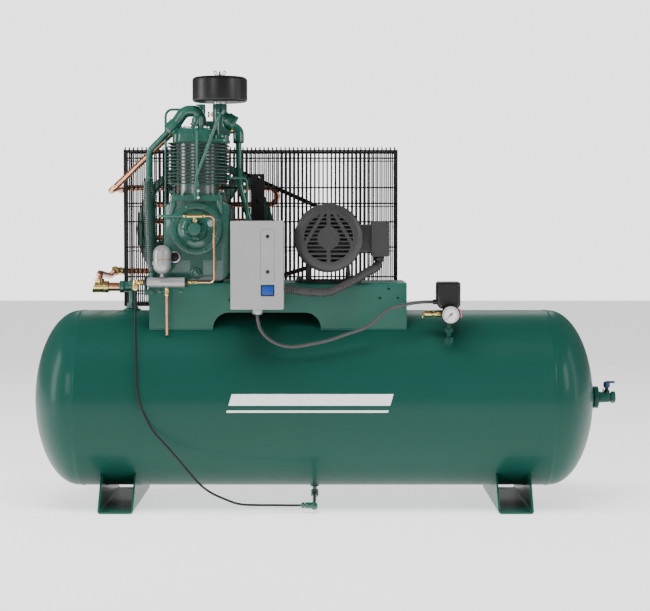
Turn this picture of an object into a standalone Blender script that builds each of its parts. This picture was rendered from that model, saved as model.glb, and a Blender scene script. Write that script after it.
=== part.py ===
"""Two-stage, belt-driven air compressor on a horizontal receiver tank.

Metres, +Z up. X runs along the tank, Y points away from the control side, and the floor is Z = 0.
Every coordinate below is measured from the tank's axis in Y. The assembly empty then moves the
whole machine by ASSEMBLY_Y, so that the middle of its outer box stands over the origin.
"""
import math

import bmesh
import bpy
from mathutils import Matrix, Vector

# ---------------------------------------------------------------- driving dimensions
ASSEMBLY_Y = -0.0275
GAP = 0.0003

TANK_RADIUS = 0.254
TANK_WALL = 0.0048
TANK_X = -0.031
TANK_Z = 0.3045
TANK_LENGTH = 1.613
HEAD_DEPTH = 0.127
TANK_SIDES = 24
TANK_LEFT = TANK_X - TANK_LENGTH / 2
TANK_RIGHT = TANK_X + TANK_LENGTH / 2
PORT_RADIUS = 0.0105
PORT_FACE_X = 0.7788
PORT_PAD_RADIUS = 0.033

FOOT_CENTRES_X = {"foot_left": -0.585, "foot_right": 0.533}
FOOT_WIDTH = 0.100
FOOT_DEPTH = 0.480
FOOT_SHEET = 0.0055
SLOT_Y = 0.215

PLATFORM_X = (-0.4965, 0.2310)
PLATFORM_TOP = 0.642
PLATFORM_HALF_DEPTH = 0.150
PLATFORM_SHEET = 0.005

PUMP_X = -0.364
CRANK_Z = 0.794
CRANKCASE_Y = (-0.125, 0.130)
CRANKCASE_TOP = 0.895
CYLINDER_TOP = 1.040
FIN_COUNT = 13
FIN_PITCH = 0.0095
FIN_THICKNESS = 0.0036
LOW_Y = -0.060
HIGH_Y = 0.075
STROKE = 0.060
LOW_BORE = 0.0505
HIGH_BORE = 0.0330
PISTON_CLEARANCE = 0.0010
CRANK_SWEEP = 0.052

FLYWHEEL_RADIUS = 0.2055
WHEEL_Y = (0.238, 0.287)
GROOVE_Y = (0.253, 0.272)
PULLEY_RADIUS = 0.075
MOTOR_X = 0.010
MOTOR_Z = 0.7690
MOTOR_RADIUS = 0.0970

GUARD_X = (-0.603, 0.217)
GUARD_Z = (0.563, 1.031)
GUARD_FRONT_Y = 0.172
GUARD_REAR_Y = 0.357
GUARD_BAR = 0.005

ENCLOSURE_X = (-0.2585, -0.1134)
ENCLOSURE_Z = (0.5740, 0.8165)
ENCLOSURE_FRONT_Y = -0.302
BUTTON_CENTRE = (-0.1570, 0.6262)

SWITCH_X = (0.3127, 0.3781)
RISER_X = 0.347
RISER_Y = -0.182
GAUGE_Z = 0.5563
GAUGE_RADIUS = 0.027

VALVE_X = 0.8208
DRAIN_Z = 0.0215
DRAIN_X = -0.030
MANIFOLD_Y = -0.175
MANIFOLD_Z = 0.6447

# A colour, a metallic value and a roughness for each finish
FINISHES = {
    "green_paint": ((0.020, 0.130, 0.085), 0.0, 0.30),
    "black_paint": ((0.012, 0.012, 0.012), 0.0, 0.45),
    "grey_motor_paint": ((0.070, 0.070, 0.072), 0.0, 0.50),
    "light_grey_paint": ((0.420, 0.420, 0.420), 0.0, 0.45),
    "grey_plastic": ((0.100, 0.095, 0.095), 0.0, 0.55),
    "black_rubber": ((0.010, 0.010, 0.010), 0.0, 0.75),
    "black_plastic": ((0.015, 0.015, 0.015), 0.0, 0.40),
    "steel": ((0.550, 0.550, 0.550), 1.0, 0.35),
    "cast_iron": ((0.180, 0.180, 0.180), 1.0, 0.60),
    "aluminium": ((0.500, 0.500, 0.510), 1.0, 0.40),
    "brass": ((0.780, 0.570, 0.250), 1.0, 0.25),
    "copper": ((0.850, 0.420, 0.300), 1.0, 0.25),
    "blue_plastic": ((0.005, 0.080, 0.420), 0.0, 0.40),
    "red_plastic": ((0.600, 0.020, 0.060), 0.0, 0.40),
}


# ---------------------------------------------------------------- shapes
def axes_of(axis):
    """The two directions across an axis, then the axis itself."""
    return {
        "X": (Vector((0, 1, 0)), Vector((0, 0, 1)), Vector((1, 0, 0))),
        "Y": (Vector((1, 0, 0)), Vector((0, 0, 1)), Vector((0, 1, 0))),
        "Z": (Vector((1, 0, 0)), Vector((0, 1, 0)), Vector((0, 0, 1))),
    }[axis]


def skin(rings, closed=False):
    """One closed skin through rings of points. A ring of one point is a pole."""
    shape = bmesh.new()
    loops = [[shape.verts.new(point) for point in ring] for ring in rings]
    pairs = list(zip(loops, loops[1:]))
    if closed:
        pairs.append((loops[-1], loops[0]))
    for low, high in pairs:
        count = max(len(low), len(high))
        for i in range(count):
            j = (i + 1) % count
            corners = [low[i % len(low)], low[j % len(low)], high[j % len(high)], high[i % len(high)]]
            shape.faces.new(list(dict.fromkeys(corners)))
    if not closed:
        for end in (loops[0], loops[-1]):
            if len(end) > 2:
                shape.faces.new(end)
    bmesh.ops.recalc_face_normals(shape, faces=shape.faces)
    return shape


def prism(outline, axis, start, end):
    """An outline, given across the axis, drawn out from start to end along it."""
    across, up, along = axes_of(axis)
    return skin([[across * a + up * b + along * h for a, b in outline] for h in (start, end)])


def box(low, high):
    """A block between two opposite corners."""
    outline = [(low[0], low[1]), (high[0], low[1]), (high[0], high[1]), (low[0], high[1])]
    return prism(outline, "Z", low[2], high[2])


def turned(profile, axis, centre, sides, closed=True):
    """A profile of (radius, height) points turned about an axis through centre."""
    across, up, along = axes_of(axis)
    middle = Vector(centre)
    rings = []
    for radius, height in profile:
        ring = []
        for i in range(sides):
            angle = 2 * math.pi * (i + 0.5) / sides
            spoke = across * math.cos(angle) + up * math.sin(angle)
            ring.append(middle + spoke * radius + along * height)
        rings.append([middle + along * height] if radius == 0 else ring)
    return skin(rings, closed)


def rod(radius, axis, centre, start, end, sides=16):
    """A plain round bar along an axis."""
    return turned([(radius, start), (radius, end)], axis, centre, sides, closed=False)


def sweep(stations, sides=8, closed=False):
    """A round bar through (point, radius) stations, kept from twisting on the way."""
    points = [Vector(point) for point, _ in stations]
    rings = []
    side = None
    for i, (_, radius) in enumerate(stations):
        before = points[i - 1] if i > 0 or closed else points[0]
        after = points[(i + 1) % len(points)] if i + 1 < len(points) or closed else points[-1]
        along = (after - before).normalized()
        if side is None:
            side = along.orthogonal().normalized()
        side = (side - along * side.dot(along)).normalized()
        other = along.cross(side)
        turns = [2 * math.pi * (k + 0.5) / sides for k in range(sides)]
        rings.append([points[i] + (side * math.cos(t) + other * math.sin(t)) * radius for t in turns])
    return skin(rings, closed)


def bent(corners, bend, steps=4):
    """The points of a bent pipe: straight runs, with an arc of radius bend at each corner."""
    corners = [Vector(corner) for corner in corners]
    route = [corners[0]]
    for before, corner, after in zip(corners, corners[1:], corners[2:]):
        inward = (before - corner).normalized()
        outward = (after - corner).normalized()
        half = inward.angle(outward) / 2
        reach = min(bend / math.tan(half), (before - corner).length * 0.48, (after - corner).length * 0.48)
        middle = corner + (inward + outward).normalized() * reach / math.cos(half)
        first = corner + inward * reach - middle
        last = corner + outward * reach - middle
        for k in range(steps + 1):
            route.append(middle + first.normalized().slerp(last.normalized(), k / steps) * first.length)
    route.append(corners[-1])
    return route


def pipe(corners, radius, bend, sides=8, steps=4):
    """A round pipe along straight runs and bends."""
    return sweep([(point, radius) for point in bent(corners, bend, steps)], sides)


def smooth(route, spacing):
    """Points at an even spacing on one smooth curve through a route."""
    route = [Vector(point) for point in route]
    ends = [route[0] * 2 - route[1]] + route + [route[-1] * 2 - route[-2]]
    fine = []
    for a, b, c, d in zip(ends, ends[1:], ends[2:], ends[3:]):
        for k in range(12):
            t = k / 12
            fine.append(0.5 * (2 * b + (c - a) * t + (2 * a - 5 * b + 4 * c - d) * t ** 2
                               + (3 * b - a - 3 * c + d) * t ** 3))
    fine.append(route[-1])
    lengths = [0.0]
    for a, b in zip(fine, fine[1:]):
        lengths.append(lengths[-1] + (b - a).length)
    count = max(2, round(lengths[-1] / spacing))
    points = []
    k = 0
    for i in range(count + 1):
        target = lengths[-1] * i / count
        while k < len(fine) - 2 and lengths[k + 1] < target:
            k += 1
        share = (target - lengths[k]) / (lengths[k + 1] - lengths[k])
        points.append(fine[k].lerp(fine[k + 1], min(1.0, share)))
    return points


def arc(centre, radius, start, end, steps):
    """Points on an arc between two angles in degrees."""
    turns = [math.radians(start + (end - start) * k / steps) for k in range(steps + 1)]
    return [(centre[0] + radius * math.cos(t), centre[1] + radius * math.sin(t)) for t in turns]


def rounded(low, high, radius, steps=3):
    """A rectangle's outline with rounded corners."""
    corners = [
        ((high[0] - radius, high[1] - radius), 0),
        ((low[0] + radius, high[1] - radius), 90),
        ((low[0] + radius, low[1] + radius), 180),
        ((high[0] - radius, low[1] + radius), 270),
    ]
    outline = []
    for centre, start in corners:
        outline += arc(centre, radius, start, start + 90, steps)
    return outline


# ---------------------------------------------------------------- objects
def clear_scene():
    for old in list(bpy.data.objects):
        bpy.data.objects.remove(old, do_unlink=True)


def finish(name):
    """The material of one sub-part, made from a named finish."""
    colour, metallic, roughness = FINISHES[name]
    material = bpy.data.materials.new(name)
    material.use_nodes = True
    shader = material.node_tree.nodes["Principled BSDF"]
    shader.inputs["Base Color"].default_value = (*colour, 1.0)
    shader.inputs["Metallic"].default_value = metallic
    shader.inputs["Roughness"].default_value = roughness
    return material


def add(name, shape, material_name, pivot=(0, 0, 0)):
    """Make a sub-part of a shape, with its origin at its pivot."""
    bmesh.ops.translate(shape, verts=shape.verts, vec=-Vector(pivot))
    mesh = bpy.data.meshes.new(name)
    shape.to_mesh(mesh)
    shape.free()
    mesh.shade_smooth()
    mesh.set_sharp_from_angle(angle=math.radians(35))
    part = bpy.data.objects.new(name, mesh)
    part.location = pivot
    part.parent = assembly
    mesh.materials.append(finish(material_name))
    bpy.context.collection.objects.link(part)
    return part


def apply_tools(part, operation, shapes):
    """Join shapes to a part, or cut them from it, in the order given."""
    for shape in shapes:
        tool = add(f"{part.name}_{operation.lower()}", shape, "steel", tuple(part.location))
        tool.hide_render = True
        tool.display_type = "WIRE"
        step = part.modifiers.new(tool.name, "BOOLEAN")
        step.operation = operation
        step.object = tool
        step.solver = "EXACT"
    return part


def join(part, *shapes):
    return apply_tools(part, "UNION", shapes)


def cut(part, *shapes):
    return apply_tools(part, "DIFFERENCE", shapes)


def keep(part, *shapes):
    return apply_tools(part, "INTERSECT", shapes)


def cord(name, route, radius, spacing, material_name):
    """A flexible line: a poly curve with a round section and filled ends."""
    points = smooth(route, spacing)
    curve = bpy.data.curves.new(name, "CURVE")
    curve.dimensions = "3D"
    curve.bevel_depth = radius
    curve.bevel_resolution = 2
    curve.resolution_u = 1
    curve.render_resolution_u = 0
    curve.use_fill_caps = True
    spline = curve.splines.new("POLY")
    spline.points.add(len(points) - 1)
    for knot, point in zip(spline.points, points):
        knot.co = (*point, 1.0)
    curve.materials.append(finish(material_name))
    line = bpy.data.objects.new(name, curve)
    line.parent = assembly
    bpy.context.collection.objects.link(line)
    return line


# ---------------------------------------------------------------- tank, feet, platform
def head_arc(radius, depth, end_x, side, first, last, steps):
    """Part of a dished head: (radius, x) points between two angles from the tank's axis."""
    points = []
    for k in range(steps + 1):
        angle = math.radians(first + (last - first) * k / steps)
        points.append((radius * math.sin(angle), end_x - side * depth * (1 - math.cos(angle))))
    return points


def tank_cutter(clearance):
    """The tank's outer barrel, grown by a clearance, to cut its neighbours with."""
    return rod(TANK_RADIUS + clearance, "X", (0, 0, TANK_Z), TANK_LEFT, TANK_RIGHT, TANK_SIDES)


def build_tank():
    inner_radius = TANK_RADIUS - TANK_WALL
    inner_depth = HEAD_DEPTH - TANK_WALL
    pad_angle = math.degrees(math.asin(PORT_PAD_RADIUS / TANK_RADIUS))
    port_angle = math.degrees(math.asin(PORT_RADIUS / inner_radius))
    profile = [(0, TANK_LEFT)]
    profile += head_arc(TANK_RADIUS, HEAD_DEPTH, TANK_LEFT, -1, 15, 90, 5)
    profile += head_arc(TANK_RADIUS, HEAD_DEPTH, TANK_RIGHT, 1, 90, pad_angle, 5)
    profile += [(PORT_PAD_RADIUS, PORT_FACE_X), (PORT_RADIUS, PORT_FACE_X)]
    profile += head_arc(inner_radius, inner_depth, TANK_RIGHT - TANK_WALL, 1, port_angle, 90, 4)
    profile += head_arc(inner_radius, inner_depth, TANK_LEFT + TANK_WALL, -1, 90, 18, 4)
    profile += [(0, TANK_LEFT + TANK_WALL)]
    tank = add("air_tank", turned(profile, "X", (0, 0, TANK_Z), TANK_SIDES, closed=False), "green_paint")
    top = TANK_Z + TANK_RADIUS
    bottom = TANK_Z - TANK_RADIUS
    join(tank,
         rod(0.0150, "Z", (RISER_X, RISER_Y, 0), 0.462, 0.4905, 12),
         rod(0.0230, "Z", (-0.5605, 0, 0), top - 0.012, top + 0.0050, 16),
         rod(0.0125, "Z", (DRAIN_X, 0, 0), bottom - 0.0060, bottom + 0.012, 12))


def build_foot(name, centre_x):
    """A bent channel: a slotted base and two upright webs that follow the tank."""
    half = FOOT_WIDTH / 2
    height = 0.180
    inner = half - FOOT_SHEET
    outline = [(half, height)]
    outline += [(half, 0.010)] + arc((half - 0.010, 0.010), 0.010, -30, -90, 2)
    outline += arc((-half + 0.010, 0.010), 0.010, -90, -180, 3)
    outline += [(-half, height), (-inner, height)]
    outline += arc((-half + 0.010, 0.010), 0.010 - FOOT_SHEET, 180, 270, 3)
    outline += arc((half - 0.010, 0.010), 0.010 - FOOT_SHEET, -90, 0, 3)
    outline += [(inner, height)]
    outline = [(centre_x + a, b) for a, b in outline]
    foot = add(name, prism(outline, "Y", -FOOT_DEPTH / 2, FOOT_DEPTH / 2), "green_paint")
    side_view = [(-0.2405, -0.001), (0.2405, -0.001), (0.2405, 0.004), (0.155, 0.1025), (0.120, 0.140),
                 (-0.120, 0.140), (-0.155, 0.1025), (-0.2405, 0.004)]
    keep(foot, prism(side_view, "X", centre_x - 0.06, centre_x + 0.06))
    cut(foot, tank_cutter(0.0006))
    for side in (-1, 1):
        middle = side * SLOT_Y
        slot = rounded((centre_x - 0.018, middle - 0.007), (centre_x + 0.018, middle + 0.007), 0.0069)
        cut(foot, prism(slot, "Z", -0.01, 0.01))
    if name == "foot_left":
        cut(foot, rod(0.004, "X", (0, -0.180, 0.050), centre_x - 0.07, centre_x + 0.07, 6))


def build_platform():
    """A folded saddle: a top sheet and two deep skirts that stand on the tank."""
    half = PLATFORM_HALF_DEPTH
    inner = half - PLATFORM_SHEET
    radius = 0.008
    outline = [(half, 0.50)] + arc((half - radius, PLATFORM_TOP - radius), radius, 0, 90, 3)
    outline += arc((-half + radius, PLATFORM_TOP - radius), radius, 90, 180, 3)
    outline += [(-half, 0.50), (-inner, 0.50)]
    outline += arc((-half + radius, PLATFORM_TOP - radius), radius - PLATFORM_SHEET, 180, 90, 2)
    outline += arc((half - radius, PLATFORM_TOP - radius), radius - PLATFORM_SHEET, 90, 0, 2)
    outline += [(inner, 0.50)]
    platform = add("platform", prism(outline, "X", *PLATFORM_X), "green_paint")
    arch_left, arch_right = -0.3163, -0.0116
    arch_top = 0.5585
    arch_radius = 0.045
    arch = [(arch_left, 0.49)]
    arch += arc((arch_left + arch_radius, arch_top - arch_radius), arch_radius, 180, 90, 4)
    arch += arc((arch_right - arch_radius, arch_top - arch_radius), arch_radius, 90, 0, 4)
    arch += [(arch_right, 0.49)]
    cut(platform, tank_cutter(0.0006), prism(arch, "Y", -0.20, 0.20))
    for x, z in ((0.1797, 0.6257), (0.1553, 0.6000), (0.2063, 0.6000), (-0.2696, 0.5936)):
        cut(platform, rod(0.0035, "Y", (x, 0, z), -0.16, -0.14, 8))


# ---------------------------------------------------------------- pump
def build_crankcase():
    left, right = PUMP_X - 0.093, PUMP_X + 0.093
    bottom = PLATFORM_TOP + GAP
    corner = 0.035

    def outline(inset):
        low = bottom + inset
        points = arc((right - corner, low + corner - inset), corner - inset, -90, 0, 3)
        points += [(right - inset, 0.842), (right - inset - 0.016, 0.870), (PUMP_X + 0.066 - inset, 0.880)]
        points += [(PUMP_X - 0.066 + inset, 0.880), (left + inset + 0.016, 0.870), (left + inset, 0.842)]
        points += arc((left + corner, low + corner - inset), corner - inset, 180, 270, 3)
        return points

    front, rear = CRANKCASE_Y
    case = add("crankcase", prism([(min(max(x, left), right), z) for x, z in outline(0.0)], "Y", front, rear),
               "green_paint")
    flange = rounded((PUMP_X - 0.074, front - 0.006), (PUMP_X + 0.074, rear + 0.006), 0.012)
    cavity = [(x + (PUMP_X - x) * 0.09, bottom + 0.010 + (z - bottom) * 0.93) for x, z in outline(0.0)]
    join(case, prism(flange, "Z", 0.872, CRANKCASE_TOP))
    cut(case, prism(cavity, "Y", front + 0.009, rear - 0.016),
        rod(0.0540, "Y", (PUMP_X, 0, CRANK_Z), front - 0.01, front + 0.02, 20),
        rod(0.0310, "Y", (PUMP_X, 0, CRANK_Z), rear - 0.03, rear + 0.01, 16),
        rod(0.0560, "Z", (PUMP_X, LOW_Y, 0), 0.80, 0.91, 20),
        rod(0.0420, "Z", (PUMP_X, HIGH_Y, 0), 0.80, 0.91, 20))

    seat = front - GAP
    cover = [(0, seat - 0.012), (0.0180, seat - 0.012), (0.0180, seat - 0.010), (0.0530, seat - 0.010),
             (0.0535, seat), (0.0735, seat), (0.0735, seat - 0.012), (0.0600, seat - 0.014),
             (0.0540, seat - 0.024), (0.0330, seat - 0.026), (0.0300, seat - 0.040), (0.0190, seat - 0.042),
             (0.0180, seat - 0.072), (0, seat - 0.072)]
    lid = add("crankcase_cover", turned(cover, "Y", (PUMP_X, 0, CRANK_Z), 18, closed=False), "green_paint")
    cut(lid, rod(0.0300, "Y", (PUMP_X, 0, CRANK_Z), seat - 0.018, seat + 0.01, 16))

    bearings = {"front_bearing": (seat - 0.0175, seat - 0.0010, 0.0297),
                "rear_bearing": (0.1145, 0.1295, 0.0305)}
    for name, (start, end, radius) in bearings.items():
        ring = [(radius, start), (radius, end), (0.0180, end), (0.0180, start)]
        add(name, turned(ring, "Y", (PUMP_X, 0, CRANK_Z), 16), "steel")


def build_crankshaft():
    """Three journals with round webs, joined by two crankpins half a turn apart."""
    pivot = (PUMP_X, 0, CRANK_Z)
    journal = 0.0174
    web = 0.011
    reach = 0.012

    def turned_length(profile):
        return turned(profile, "Y", pivot, 12, closed=False)

    front = [(0, -0.139), (journal, -0.139), (journal, LOW_Y - reach - web),
             (CRANK_SWEEP, LOW_Y - reach - web), (CRANK_SWEEP, LOW_Y - reach), (0, LOW_Y - reach)]
    middle = [(0, LOW_Y + reach), (CRANK_SWEEP, LOW_Y + reach), (CRANK_SWEEP, LOW_Y + reach + web),
              (journal, LOW_Y + reach + web), (journal, HIGH_Y - reach - web),
              (CRANK_SWEEP, HIGH_Y - reach - web), (CRANK_SWEEP, HIGH_Y - reach), (0, HIGH_Y - reach)]
    rear = [(0, HIGH_Y + reach), (CRANK_SWEEP, HIGH_Y + reach), (CRANK_SWEEP, HIGH_Y + reach + web),
            (journal, HIGH_Y + reach + web), (journal, 0.150), (0.0155, 0.152), (0.0155, 0.294), (0, 0.294)]
    shaft = add("crankshaft", turned_length(front), "steel", pivot)
    pins = [rod(0.0160, "Y", (PUMP_X + side * STROKE / 2, 0, CRANK_Z), centre - reach - 0.003,
                centre + reach + 0.003, 8) for centre, side in ((LOW_Y, 1), (HIGH_Y, -1))]
    join(shaft, pins[0], turned_length(middle), pins[1], turned_length(rear))


def build_flywheel():
    pivot = (PUMP_X, (WHEEL_Y[0] + WHEEL_Y[1]) / 2, CRANK_Z)
    centre = (PUMP_X, 0, CRANK_Z)
    front, rear = WHEEL_Y
    rim = [(0.176, front + 0.004), (FLYWHEEL_RADIUS, front + 0.001)]
    rim += groove_profile(FLYWHEEL_RADIUS)
    rim += [(FLYWHEEL_RADIUS, rear - 0.001), (0.176, rear - 0.004)]
    wheel = add("flywheel", turned(rim, "Y", centre, 24), "green_paint", pivot)
    hub = [(0.0161, front - 0.010), (0.0161, rear), (0.040, rear), (0.044, front + 0.010),
           (0.036, front - 0.010)]
    spokes = []
    for k in range(5):
        blade = box((0.034, -0.0180, -0.0060), (0.1830, 0.0180, 0.0060))
        pitch = Matrix.Rotation(math.radians(62), 4, "X")
        turn = Matrix.Rotation(math.radians(72 * k + 15), 4, "Y")
        place = Matrix.Translation((PUMP_X, pivot[1], CRANK_Z))
        bmesh.ops.transform(blade, matrix=place @ turn @ pitch, verts=blade.verts)
        spokes.append(blade)
    join(wheel, *spokes, turned(hub, "Y", centre, 14))


def groove_profile(radius):
    """Two V-grooves across a rim, as (radius, y) points from front to rear."""
    points = []
    for centre in GROOVE_Y:
        points += [(radius, centre - 0.0082), (radius - 0.0145, centre - 0.0040),
                   (radius - 0.0145, centre + 0.0040), (radius, centre + 0.0082)]
    return points


def fin_outline(half_x, half_y, cut_corner):
    """An eight-sided outline about the cylinder's axis."""
    return [(half_x, -half_y + cut_corner), (half_x, half_y - cut_corner), (half_x - cut_corner, half_y),
            (-half_x + cut_corner, half_y), (-half_x, half_y - cut_corner), (-half_x, -half_y + cut_corner),
            (-half_x + cut_corner, -half_y), (half_x - cut_corner, -half_y)]


def build_cylinder(name, centre_y, bore, barrel, half_depth):
    """A finned barrel with a through bore."""
    half_barrel = fin_outline(barrel, barrel, barrel * 0.586)
    fin = fin_outline(0.0825, half_depth, 0.018)
    bottom = CRANKCASE_TOP + GAP
    first_fin = CYLINDER_TOP - GAP - FIN_THICKNESS - FIN_PITCH * (FIN_COUNT - 1)
    levels = [(bottom, half_barrel), (first_fin - 0.002, half_barrel)]
    for k in range(FIN_COUNT):
        low = first_fin + FIN_PITCH * k
        levels += [(low, fin), (low + FIN_THICKNESS, fin)]
        if k < FIN_COUNT - 1:
            levels.append((low + (FIN_THICKNESS + FIN_PITCH) / 2, half_barrel))
    rings = [[Vector((PUMP_X + a, centre_y + b, z)) for a, b in outline] for z, outline in levels]
    cylinder = add(name, skin(rings), "green_paint")
    cut(cylinder, rod(bore, "Z", (PUMP_X, centre_y, 0), 0.88, 1.06, 12))


def build_piston(name, centre_y, bore):
    """A piston and the upper length of its rod, which stops short of the crank's sweep."""
    crown = CYLINDER_TOP - 0.003 - STROKE / 2
    skirt = crown - 0.045
    foot = CRANK_Z + CRANK_SWEEP + 0.007 + STROKE / 2
    radius = bore - PISTON_CLEARANCE
    profile = [(0, crown), (radius, crown), (radius, skirt), (0.0100, skirt), (0.0085, foot), (0, foot)]
    pivot = (PUMP_X, centre_y, crown)
    add(name, turned(profile, "Z", (PUMP_X, centre_y, 0), 12, closed=False), "aluminium", pivot)


def build_heads():
    seat = CYLINDER_TOP + GAP
    low_outline = rounded((PUMP_X - 0.072, LOW_Y - 0.070), (PUMP_X + 0.086, LOW_Y + 0.070), 0.022)
    dome = rounded((PUMP_X - 0.052, LOW_Y - 0.056), (PUMP_X + 0.040, LOW_Y + 0.056), 0.022)
    low = add("low_pressure_head", prism(low_outline, "Z", seat, 1.060), "green_paint")
    join(low, prism(dome, "Z", 1.050, 1.078), rod(0.024, "Z", (-0.3618, LOW_Y, 0), 1.07, 1.092, 16))
    high_outline = rounded((PUMP_X - 0.062, HIGH_Y - 0.056), (PUMP_X + 0.070, HIGH_Y + 0.054), 0.020)
    high = add("high_pressure_head", prism(high_outline, "Z", seat, 1.070), "green_paint")
    join(high, rod(0.0140, "Z", (-0.3648, HIGH_Y, 0), 1.06, 1.1597, 12),
         rod(0.0120, "X", (0, HIGH_Y, 1.083), -0.418, -0.340, 12),
         box((-0.3900, HIGH_Y - 0.020, 1.065), (-0.2990, HIGH_Y + 0.020, 1.110)))


def build_intake():
    """The short stack with its angled unloader housing, the filter canister and its wing nut."""
    stack_x = -0.3005
    floor_z = 1.060 + GAP
    stack = add("intake_stack", rod(0.0205, "Z", (stack_x, LOW_Y, 0), floor_z, 1.1500, 16), "green_paint")
    start = Vector((-0.3067, LOW_Y, 1.1273))
    slope = Vector((0.8, 0, -0.6))
    housing = sweep([(start, 0.0200), (start + slope * 0.033, 0.0200), (start + slope * 0.033, 0.0245),
                     (start + slope * 0.060, 0.0245)], 12)
    join(stack, housing, box((-0.3000, LOW_Y - 0.014, floor_z), (-0.2740, LOW_Y + 0.014, 1.085)))
    bottom = 1.1503
    filter_profile = [(0, bottom), (0.0200, bottom), (0.0200, 1.1560), (0.0640, 1.1560), (0.0785, 1.1620),
                      (0.0785, 1.2200), (0.0700, 1.2265), (0.0040, 1.2270), (0.0030, 1.2450), (0, 1.2450)]
    centre = (stack_x, LOW_Y, 0)
    add("intake_filter", turned(filter_profile, "Z", centre, 20, closed=False), "black_paint")
    nut_pivot = (stack_x, LOW_Y, 1.2400)
    nut = add("filter_wing_nut", rod(0.0080, "Z", centre, 1.2275, 1.2345, 12), "steel", nut_pivot)
    join(nut, box((stack_x - 0.0175, LOW_Y - 0.0016, 1.2290), (stack_x + 0.0175, LOW_Y + 0.0016, 1.2450)))
    cut(nut, rod(0.0042, "Z", centre, 1.22, 1.25, 12))


def build_crankcase_fittings():
    face = CRANKCASE_Y[0] - GAP
    sight = [(0, face), (0.0175, face), (0.0175, face - 0.011), (0.0130, face - 0.013),
             (0.0130, face - 0.008), (0, face - 0.008)]
    add("sight_glass", turned(sight, "Y", (-0.4255, 0, 0.7152), 16, closed=False), "aluminium")
    plug = [(0, face), (0.0160, face), (0.0160, face - 0.007), (0.0125, face - 0.007), (0.0125, face - 0.019),
            (0, face - 0.019)]
    add("oil_plug", turned(plug, "Y", (PUMP_X, 0, 0.6690), 12, closed=False), "green_paint")


# ---------------------------------------------------------------- pipework
def build_interstage():
    """Elbow and pipe to the finned intercooler, and the pipe back to the high-pressure head."""
    elbow = bent([(-0.3618, LOW_Y, 1.0923), (-0.3618, LOW_Y, 1.1310), (-0.4020, LOW_Y, 1.1310),
                  (-0.4300, LOW_Y, 1.0905)], 0.026)
    line = bent([(-0.4300, LOW_Y, 1.0905), (-0.5035, LOW_Y, 1.0170), (-0.5045, LOW_Y, 0.9420)], 0.030)
    collar_end = elbow[-1].lerp(line[1], 0.20)
    stations = [(point, 0.0150) for point in elbow] + [(elbow[-1], 0.0125), (collar_end, 0.0125)]
    stations += [(collar_end, 0.0085)] + [(point, 0.0085) for point in line[1:]]
    add("interstage_elbow", sweep(stations, 8), "green_paint")

    top = Vector((-0.5045, LOW_Y, 0.9406))
    end = Vector((-0.4940, LOW_Y, 0.6725))
    fins = 4
    cooler = [(top, 0.0120)]
    for k in range(fins):
        for share, radius in ((0.06, 0.0120), (0.07, 0.0172), (0.93, 0.0172), (0.94, 0.0120)):
            cooler.append((top.lerp(end, (k + share) / fins), radius))
    cooler.append((end, 0.0120))
    add("intercooler", sweep(cooler, 8), "green_paint")

    crossing = 0.6600
    route = [(-0.2937 + GAP, HIGH_Y, 1.0870), (-0.2495, HIGH_Y, 1.0870), (-0.2495, 0.030, 0.9200),
             (-0.2210, 0.030, 0.8200), (-0.2130, 0.030, 0.7000), (-0.2280, 0.112, crossing),
             (-0.2550, 0.151, crossing), (-0.4940, 0.151, crossing), (-0.4940, LOW_Y, 0.6520),
             (-0.4940, LOW_Y, 0.6710)]
    add("interstage_return", pipe(route, 0.0086, 0.024, sides=7, steps=2), "green_paint")


def build_discharge():
    """Copper tube: from the head, round the guard, back and forth behind the flywheel, to the tank."""
    cooler_y = 0.328
    top_row = 0.921
    row_pitch = (top_row - 0.664) / 5
    left, right = -0.5650, -0.1480
    route = [(-0.4183, HIGH_Y, 1.0830), (-0.4432, HIGH_Y, 1.0820), (-0.6300, HIGH_Y, 0.9050),
             (-0.6400, 0.200, 0.9120), (-0.6250, cooler_y, top_row), (right, cooler_y, top_row)]
    for row in range(1, 6):
        z = top_row - row * row_pitch
        side = right if row % 2 else left
        if row > 1:
            route.append((side, cooler_y, z + row_pitch))
        route.append((side, cooler_y, z))
    bottom = top_row - 5 * row_pitch
    route += [(-0.6500, cooler_y, bottom), (-0.6500, 0, bottom), (-0.6500, 0, 0.6503)]
    add("discharge_tube", pipe(route, 0.0070, 0.0240, sides=6, steps=2), "copper")

    level = 0.6265
    stations = [((-0.6500, 0, 0.6500), 0.0105), ((-0.6500, 0, 0.6420), 0.0135), ((-0.6500, 0, level), 0.0150),
                ((-0.6340, 0, level), 0.0150), ((-0.6340, 0, level), 0.0190), ((-0.6270, 0, level), 0.0190),
                ((-0.6270, 0, level), 0.0112), ((-0.5963, 0, level), 0.0112)]
    elbow = add("discharge_elbow", sweep(stations, 10), "brass")
    keep(elbow, box((-0.69, -0.03, 0.60), (-0.5963, 0.03, 0.6500)))

    x = -0.5605
    valve = add("check_valve", turned([(0.0150, 0.5638), (0.0165, 0.5660), (0.0165, 0.5840), (0.0100, 0.5860),
                                       (0.0100, 0.6260)], "Z", (x, 0, 0), 12, closed=False), "green_paint")
    join(valve, rod(0.0180, "X", (0, 0, 0.6265), -0.5960, x + 0.0060, 12))


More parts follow.
